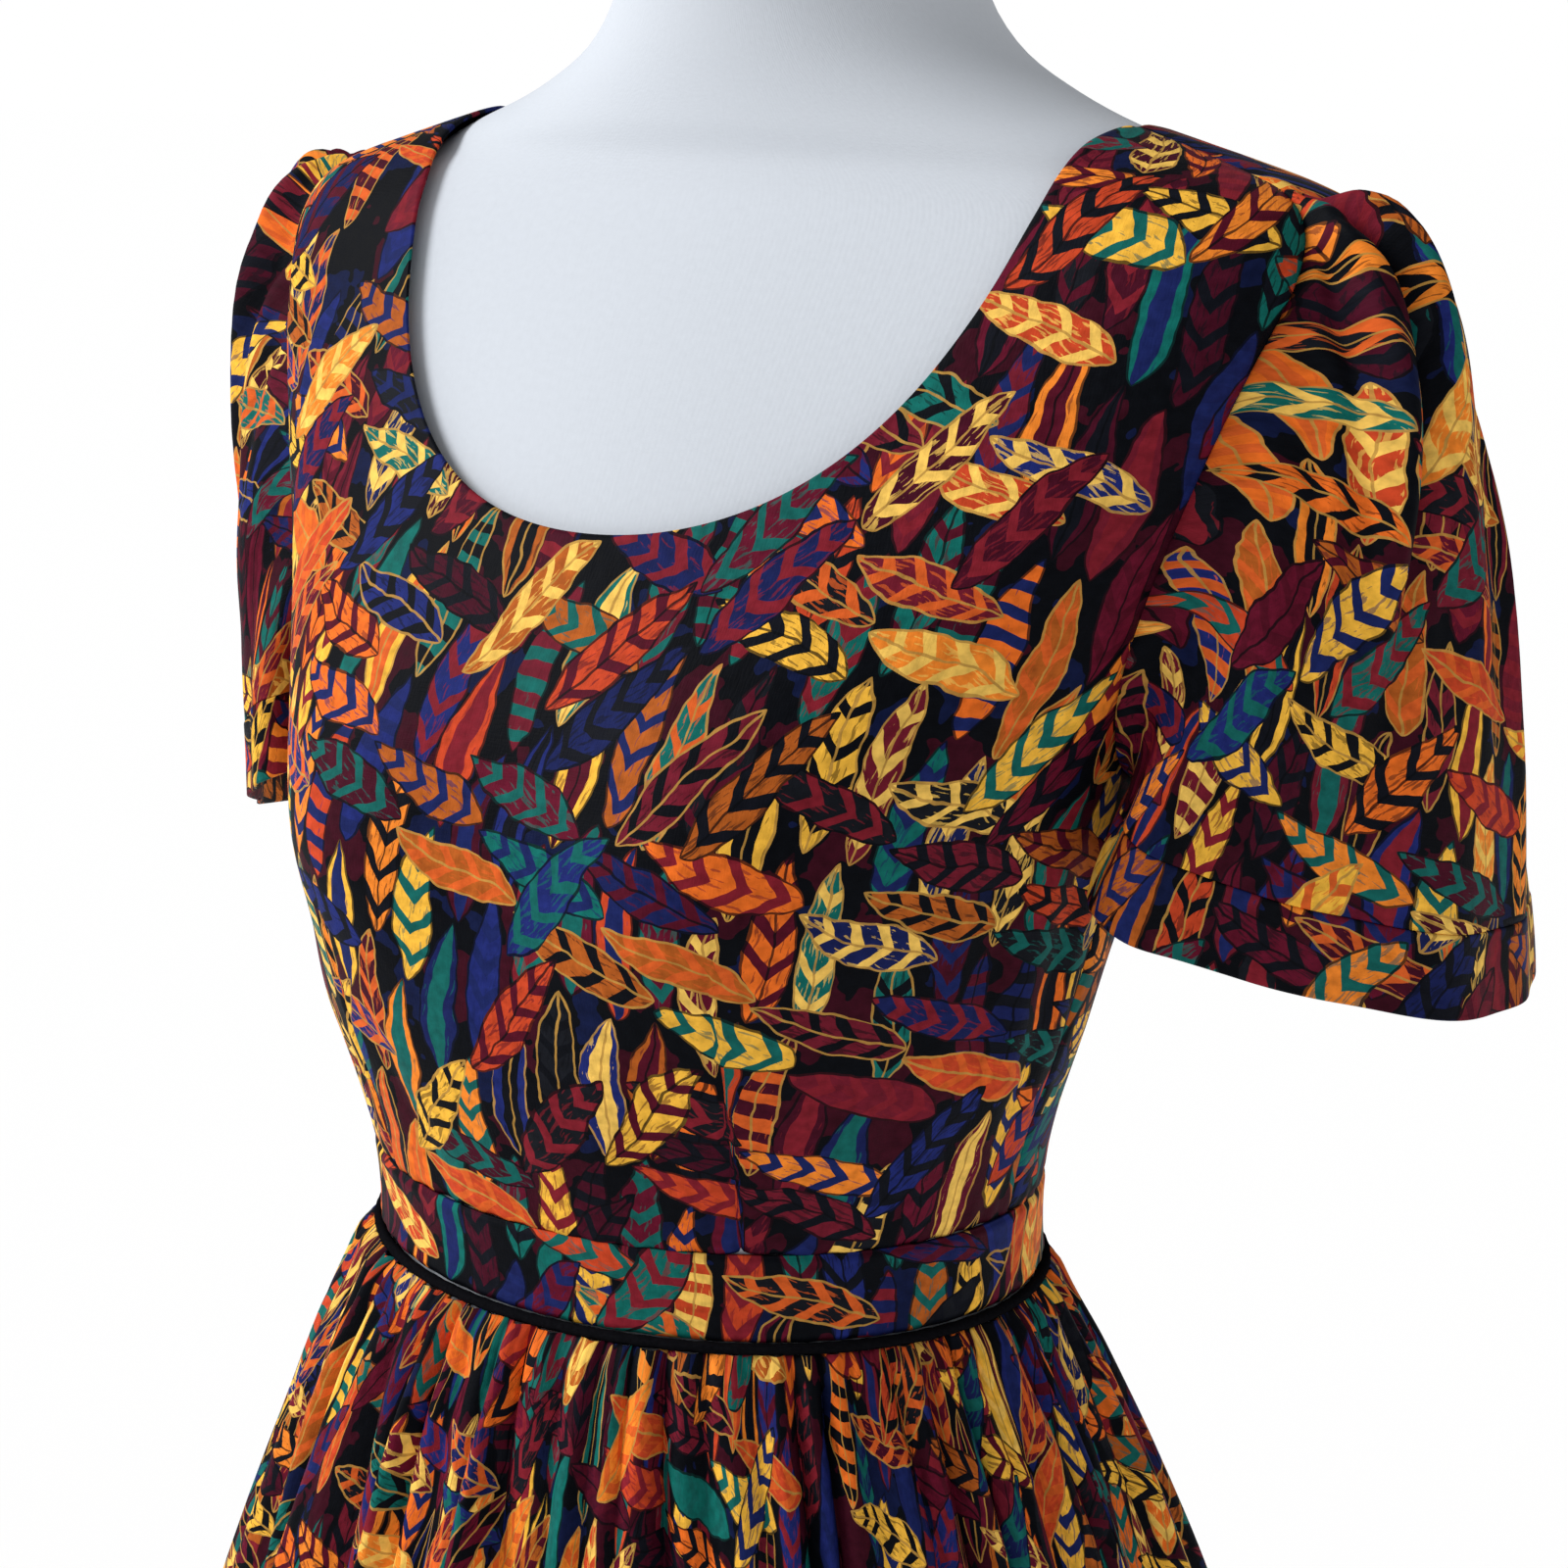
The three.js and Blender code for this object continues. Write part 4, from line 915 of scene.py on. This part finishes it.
# %% Turned pieces of the stand
def turned_piece(name, outline, steps, bevel):
    """outline is (radius, height) pairs in millimetres from the axis below to the axis on top."""
    shape = bmesh.new()
    line = [shape.verts.new((r * MM, 0, z * MM)) for r, z in outline]
    edges = [shape.edges.new(pair) for pair in zip(line, line[1:])]
    bmesh.ops.spin(shape, geom=line + edges, axis=(0, 0, 1), cent=(0, 0, 0), angle=2 * math.pi,
                   steps=steps, use_merge=True, use_duplicate=False)
    bmesh.ops.remove_doubles(shape, verts=shape.verts, dist=1e-6)
    bmesh.ops.recalc_face_normals(shape, faces=shape.faces)
    piece = finished(name, shape)
    rounded = piece.modifiers.new("rounded", "BEVEL")
    rounded.width = bevel * MM
    rounded.segments = 3
    rounded.limit_method = "ANGLE"
    rounded.harden_normals = True
    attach(piece, BODY)
    print(f"{name}: {len(piece.data.polygons)} faces")
    return piece


STAND_GAP, POLE_ROUND, SOCKET_TOP = 0.4, 14, 62
base = turned_piece("base_plate", (
    (0, 0), (187, 0), (190, 3), (190, 8), (182, 12), (34, 18), (26, 26), (26, 58),
    (22, SOCKET_TOP), (0, SOCKET_TOP)), 128, 1.2)
low, high = SOCKET_TOP + STAND_GAP, FIGURE[0][0] - STAND_GAP
pole = turned_piece(
    "steel_pole", ((0, low), (POLE_ROUND, low), (POLE_ROUND, high), (0, high)), 64, 0.6)
cap_z = FIGURE[-1][0] + 0.36
neck_cap = turned_piece("neck_plate", (
    (0, cap_z), (54, cap_z), (54, cap_z + 6), (51, cap_z + 9), (0, cap_z + 11)), 96, 1.0)
for vertex in neck_cap.data.vertices:
    vertex.co.y += FIGURE[-1][4] * MM
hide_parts("stand_base")
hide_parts("stand_pole")
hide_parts("form_neck_cap")

# %% [markdown]
# ## Which piece stands for which solid
# Every cloth solid is hidden, and its finer piece stands in its place. The table beside them also
# gives the size that each piece was cut to. The zip's slider and tab keep their own solids.

FORM = ["jersey_form"]
replaced = (
    (front_bodice, "bodice_front", (0.46, 0.37), 0.126, "stretched", FORM),
    (back_left, "bodice_back_left", (0.23, 0.37), 0.07, "stretched", FORM),
    (back_right, "bodice_back_right", (0.23, 0.37), 0.07, "stretched", FORM),
    (band_front, "waistband_front", (0.36, 0.031), None, "stretched", FORM),
    (band_left, "waistband_back_left", (0.182, 0.031), None, "stretched", FORM),
    (band_right, "waistband_back_right", (0.182, 0.031), None, "stretched", FORM),
    (skirt_front, "skirt_front", (1.02, 0.6), None, "gathered", ["waistband_front_cloth"]),
    (skirt_left, "skirt_back_left", (0.52, 0.6), None, "gathered", ["waistband_left_cloth"]),
    (skirt_right, "skirt_back_right", (0.52, 0.6), None, "gathered", ["waistband_right_cloth"]),
    (sleeves[0], "sleeve_left", (0.46, 0.25), 0.062, "hung", ["front_bodice", "back_bodice_left"]),
    (sleeves[1], "sleeve_right", (0.46, 0.25), 0.062, "hung",
     ["front_bodice", "back_bodice_right"]),
    (cuffs[0], "cuff_left", (0.42, 0.028), None, "hung", ["sleeve_left_cloth"]),
    (cuffs[1], "cuff_right", (0.42, 0.028), None, "hung", ["sleeve_right_cloth"]),
)
for piece, node, size, area, held, rests in replaced:
    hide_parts(node)
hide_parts("waist_piping")
print(len(replaced), "sheets declared")

# %% [markdown]
# ## Materials as recipes
# A shader could be built by hand in the node editor. In a script, a small helper that adds a
# node and gives back its output lets a recipe read like arithmetic.

# %% A helper for wiring nodes
def srgb(red, green, blue):
    """A colour as seen on a screen, 0 to 255, turned into the light it stands for."""
    shares = [c / 255 for c in (red, green, blue)]
    return (*[s / 12.92 if s <= 0.04045 else ((s + 0.055) / 1.055) ** 2.4 for s in shares], 1)


class Wiring:
    def __init__(self, tree):
        self.tree = tree

    def feed(self, node, inputs):
        for key, value in inputs.items():
            if isinstance(value, bpy.types.NodeSocket):
                self.tree.links.new(value, node.inputs[key])
            else:
                node.inputs[key].default_value = value
        return node

    def node(self, kind, inputs):
        return self.feed(self.tree.nodes.new(kind), inputs)

    def math(self, operation, a, b=0.5, c=0.5):
        node = self.node("ShaderNodeMath", {0: a, 1: b, 2: c})
        node.operation = operation
        return node.outputs[0]

    def times(self, a, b):
        return self.math("MULTIPLY", a, b)

    def times_plus(self, a, b, c):
        return self.math("MULTIPLY_ADD", a, b, c)

    def above(self, a, b):
        return self.math("GREATER_THAN", a, b)

    def below(self, a, b):
        return self.math("LESS_THAN", a, b)

    def blend(self, share, under, over, way="MIX"):
        node = self.tree.nodes.new("ShaderNodeMix")
        node.data_type, node.blend_type = "RGBA", way
        return self.feed(node, {0: share, 6: under, 7: over}).outputs[2]

    def join(self, x, y, z=0.0):
        return self.node("ShaderNodeCombineXYZ", {0: x, 1: y, 2: z}).outputs[0]

    def split(self, vector):
        return self.node("ShaderNodeSeparateXYZ", {0: vector}).outputs

    def chance(self, vector):
        return self.node("ShaderNodeTexWhiteNoise", {"Vector": vector}).outputs

    def noise(self, vector, scale, detail=2.0):
        inputs = {"Vector": vector, "Scale": scale, "Detail": detail}
        return self.node("ShaderNodeTexNoise", inputs).outputs

    def palette(self, value, colours):
        node = self.node("ShaderNodeValToRGB", {"Fac": value})
        ramp = node.color_ramp
        ramp.interpolation = "CONSTANT"
        for _ in range(len(colours) - 2):
            ramp.elements.new(0.5)
        for k, colour in enumerate(colours):
            ramp.elements[k].position = k / len(colours)
            ramp.elements[k].color = colour
        return node.outputs[0]


print("wiring helper ready")

# %% [markdown]
# ## The print
# The cloth carries leaves tossed at several angles. One layer of leaves is a grid of cells: each
# cell draws one pointed leaf, or none, and picks its colours and inner marks by chance from its
# own number. Layers at other angles lie over it. A little noise bends the drawing. The print is
# a node group, which a material then places by the flat cloth's own map.

# %% The printed cloth
GROUND = srgb(11, 13, 18)
GOLD_LINE = srgb(188, 142, 68)
DRIFT = 0.012
LEAF_COLOURS = [srgb(*c) for c in (
    (98, 20, 42), (238, 112, 38), (32, 42, 108), (248, 188, 66), (112, 28, 44), (200, 70, 38),
    (18, 104, 96), (24, 26, 32), (244, 136, 46), (70, 16, 34), (26, 34, 84), (180, 92, 34))]
SECOND_COLOURS = [srgb(*c) for c in (
    (248, 200, 96), (14, 16, 22), (218, 96, 40), (84, 18, 36), (18, 20, 28),
    (28, 38, 92), (22, 98, 92), (128, 32, 44))]
# The degrees that each layer is turned by, its cell's size in metres, its seed, its filled share.
LEAF_LAYERS = (
    (12, 0.015, 0.054, 1.0, 0.95), (-66, 0.0155, 0.052, 2.0, 0.46), (44, 0.0165, 0.056, 3.0, 0.3))


def leaf_layer(w, place, under, turn, wide, tall, seed, fill):
    turned = w.node("ShaderNodeVectorRotate", {"Vector": place, "Angle": math.radians(turn)})
    turned.rotation_type = "Z_AXIS"
    x, y, _ = w.split(turned.outputs[0])
    across = w.math("DIVIDE", x, wide)
    column = w.math("FLOOR", across)
    slide, _ = w.chance(w.join(column, seed, 0.5))
    along = w.math("ADD", w.math("DIVIDE", y, tall), slide)
    luck, tints = w.chance(w.join(column, w.math("FLOOR", along), seed))
    first, second, third = w.split(tints)
    fx, fy = (w.times_plus(w.math("FRACT", cell), 2.0, -1.0) for cell in (across, along))
    bend = w.times(w.math("SINE", w.times_plus(fy, 2.1, first)), 0.22)
    side = w.math("ABSOLUTE", w.math("ADD", fx, bend))
    bulge = w.math("POWER", w.math("SUBTRACT", 1.0, w.times(fy, fy)), 0.72)
    body = w.times(bulge, w.times_plus(fy, -0.2, 0.94))
    inside = w.math("SUBTRACT", body, side)
    kept = w.below(luck, fill)
    mask = w.times(w.above(inside, 0.0), kept)
    slant = w.times_plus(side, -4.5, w.times(fy, 15.0))
    veins = w.above(w.math("SINE", slant), 0.35)
    bands = w.above(w.math("SINE", w.times(fy, 21.0)), 0.1)
    heart = w.above(inside, w.times(body, 0.52))
    pick_veins = w.times(veins, w.below(first, 0.5))
    pick_bands = w.times(bands, w.above(first, 0.78))
    pick_heart = w.times(heart, w.math("COMPARE", first, 0.64, 0.14))
    marks = w.math("MAXIMUM", w.math("MAXIMUM", pick_veins, pick_bands), pick_heart)
    rib = w.below(side, 0.05)
    line = w.below(inside, 0.1)
    lines = w.math("MAXIMUM", w.times(rib, w.below(third, 0.6)), line)
    over = w.palette(third, SECOND_COLOURS)
    colour = w.blend(marks, w.palette(second, LEAF_COLOURS), over)
    bristles, _ = w.noise(w.join(w.times(x, 900.0), w.times(y, 110.0)), 1.0, 3.0)
    dry = w.above(bristles, w.times_plus(first, 0.12, 0.55))
    colour = w.blend(w.times(dry, 0.6), colour, over)
    ink = w.blend(w.below(third, 0.38), GROUND, GOLD_LINE)
    return w.blend(mask, under, w.blend(w.times(lines, 0.85), colour, ink))


tree = bpy.data.node_groups.new("printed_cotton", "ShaderNodeTree")
tree.interface.new_socket(name="Place", in_out="INPUT", socket_type="NodeSocketVector")
for word, kind in (("Color", "Color"), ("Roughness", "Float"), ("Height", "Float")):
    tree.interface.new_socket(name=word, in_out="OUTPUT", socket_type="NodeSocket" + kind)
w = Wiring(tree)
place = tree.nodes.new("NodeGroupInput").outputs[0]
_, drift = w.noise(place, 34.0, 3.0)
moved = w.node("ShaderNodeVectorMath", {0: drift, 1: (DRIFT, DRIFT, DRIFT), 2: place})
moved.operation = "MULTIPLY_ADD"
moved = moved.outputs[0]
patch, _ = w.noise(moved, 38.0, 3.0)
colour = w.blend(w.above(patch, 0.55), GROUND, srgb(58, 14, 28))
colour = w.blend(w.below(patch, 0.4), colour, srgb(18, 26, 60))
for layer in LEAF_LAYERS:
    colour = leaf_layer(w, moved, colour, *layer)
mottle, _ = w.noise(place, 260.0, 4.0)
shade = w.times_plus(mottle, 1.1, 0.4)
colour = w.blend(1.0, colour, w.join(shade, shade, shade), "MULTIPLY")
x, y, _ = w.split(place)
warp, _ = w.noise(w.join(w.times(x, 1500.0), w.times(y, 260.0)), 1.0, 1.0)
weft, _ = w.noise(w.join(w.times(x, 260.0), w.times(y, 1500.0)), 1.0, 1.0)
threads = w.math("ADD", warp, weft)
rumple, _ = w.noise(place, 55.0, 2.0)
w.node("NodeGroupOutput", {
    "Color": colour,
    "Roughness": w.times_plus(mottle, 0.16, 0.5),
    "Height": w.times_plus(rumple, 3.0, w.times(threads, 0.35)),
})
print("printed_cotton:", len(tree.nodes), "nodes")

# %% [markdown]
# ## Finishes
# The printed cotton is matt. A glossy share would lie over its dark dyes as a grey haze, so it is
# close to nothing. The jersey cover is a white knit with a little sheen. The stand is brushed
# steel over a satin black plate, and the zip is enamelled metal.

# %% The materials
def new_material(name, **settings):
    material = bpy.data.materials.new(name)
    material.use_nodes = True
    shader = material.node_tree.nodes["Principled BSDF"]
    for key, value in settings.items():
        shader.inputs[key.replace("_", " ")].default_value = value
    return material, Wiring(material.node_tree), shader


def with_bump(w, shader, height, strength, distance):
    bump = w.node("ShaderNodeBump", {
        "Height": height, "Strength": strength, "Distance": distance})
    w.feed(shader, {"Normal": bump.outputs[0]})


def cloth_place(w):
    node = w.tree.nodes.new("ShaderNodeUVMap")
    node.uv_map = "cloth"
    return node.outputs[0]


printed, w, shader = new_material("printed_cotton", Specular_IOR_Level=0.03)
group = w.node("ShaderNodeGroup", {})
group.node_tree = tree
w.feed(group, {"Place": cloth_place(w)})
w.feed(shader, {"Base Color": group.outputs["Color"], "Roughness": group.outputs["Roughness"]})
with_bump(w, shader, group.outputs["Height"], 0.5, 0.0006)

dark_bias, w, shader = new_material("dark_bias_strip", Roughness=0.9, Specular_IOR_Level=0.0)
grain, _ = w.noise(cloth_place(w), 700.0, 3.0)
tone = w.times_plus(grain, 0.006, 0.002)
w.feed(shader, {"Base Color": w.join(tone, tone, w.times(tone, 1.25))})
with_bump(w, shader, grain, 0.4, 0.0005)

jersey, w, shader = new_material(
    "white_jersey", Roughness=0.85, Sheen_Weight=0.1, Sheen_Roughness=0.5)
place = cloth_place(w)
x, y, _ = w.split(place)
ribs = w.math("SINE", w.times(x, 4200.0))
fuzz, _ = w.noise(place, 420.0, 3.0)
tone = w.times_plus(fuzz, 0.05, 0.6)
w.feed(shader, {"Base Color": w.join(w.times(tone, 0.94), tone, w.times(tone, 1.09))})
with_bump(w, shader, w.times_plus(ribs, 0.08, fuzz), 0.2, 0.0005)

white_cap, _, _ = new_material(
    "white_neck_plate", Base_Color=srgb(226, 224, 218), Roughness=0.38)
black_satin, _, _ = new_material(
    "black_satin_metal", Base_Color=srgb(30, 30, 32), Roughness=0.42, Metallic=0.35)
black_enamel, _, _ = new_material(
    "black_enamel", Base_Color=srgb(20, 21, 24), Roughness=0.3, Coat_Weight=0.4)
steel, w, shader = new_material("brushed_steel", Metallic=1.0, Base_Color=srgb(190, 190, 192))
place = w.tree.nodes.new("ShaderNodeTexCoord").outputs["Object"]
x, y, z = w.split(place)
streaks, _ = w.noise(w.join(x, y, w.times(z, 60.0)), 90.0, 2.0)
w.feed(shader, {"Roughness": w.times_plus(streaks, 0.2, 0.2)})

for piece, *_ in replaced:
    piece.data.materials.append(printed)
for piece, material in ((piping, dark_bias), (form, jersey), (neck_cap, white_cap),
                        (base, black_satin), (pole, steel)):
    piece.data.materials.append(material)
for name in ("zip_slider", "zip_pull"):
    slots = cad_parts[name].material_slots
    if not slots:
        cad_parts[name].data.materials.append(black_enamel)
    for slot in slots:
        slot.material = black_enamel
print(len(bpy.data.materials), "materials")

# %% [markdown]
# ## Light and floor
# The background is bright and even, with one soft light from the left. A large soft sun lights
# the floor evenly out to the horizon, which a lamp close by can't do. A Light Path node shows
# the camera a plain white world, and lets it light the dress with a smaller share of that. The
# floor glows a little, to be as bright as the world behind it.

# %% Light and floor
SURROUND, FLOOR_GLOW, FLOOR_HALF = 0.42, 0.09, 60
SUN_POWER, SUN_WIDE = 2.9, math.radians(30)
SUN_PLACE, SUN_TARGET = Vector((-2.6, -1.6, 3.1)), Vector((0, 0, 1.1))
scene = bpy.context.scene
scene.view_settings.view_transform = "Standard"
world = bpy.data.worlds.new("white_surround")
scene.world = world
world.use_nodes = True
w = Wiring(world.node_tree)
seen = w.node("ShaderNodeLightPath", {}).outputs["Is Camera Ray"]
w.feed(world.node_tree.nodes["Background"], {
    "Color": (1, 1, 1, 1), "Strength": w.times_plus(seen, 1.0 - SURROUND, SURROUND)})

sun_data = bpy.data.lights.new("soft_key", "SUN")
sun_data.energy, sun_data.angle = SUN_POWER, SUN_WIDE
sun = in_scene("soft_key", sun_data)
sun.location = SUN_PLACE
sun.rotation_euler = (SUN_TARGET - SUN_PLACE).to_track_quat("-Z", "Y").to_euler()

shape = bmesh.new()
bmesh.ops.create_grid(shape, x_segments=1, y_segments=1, size=FLOOR_HALF)
floor = finished("pale_floor", shape)
floor_paint, _, _ = new_material(
    "pale_floor", Base_Color=(0.98, 0.98, 0.98, 1), Roughness=0.9, Specular_IOR_Level=0.0,
    Emission_Color=(1, 1, 1, 1), Emission_Strength=FLOOR_GLOW)
floor.data.materials.append(floor_paint)
print("light and floor ready")
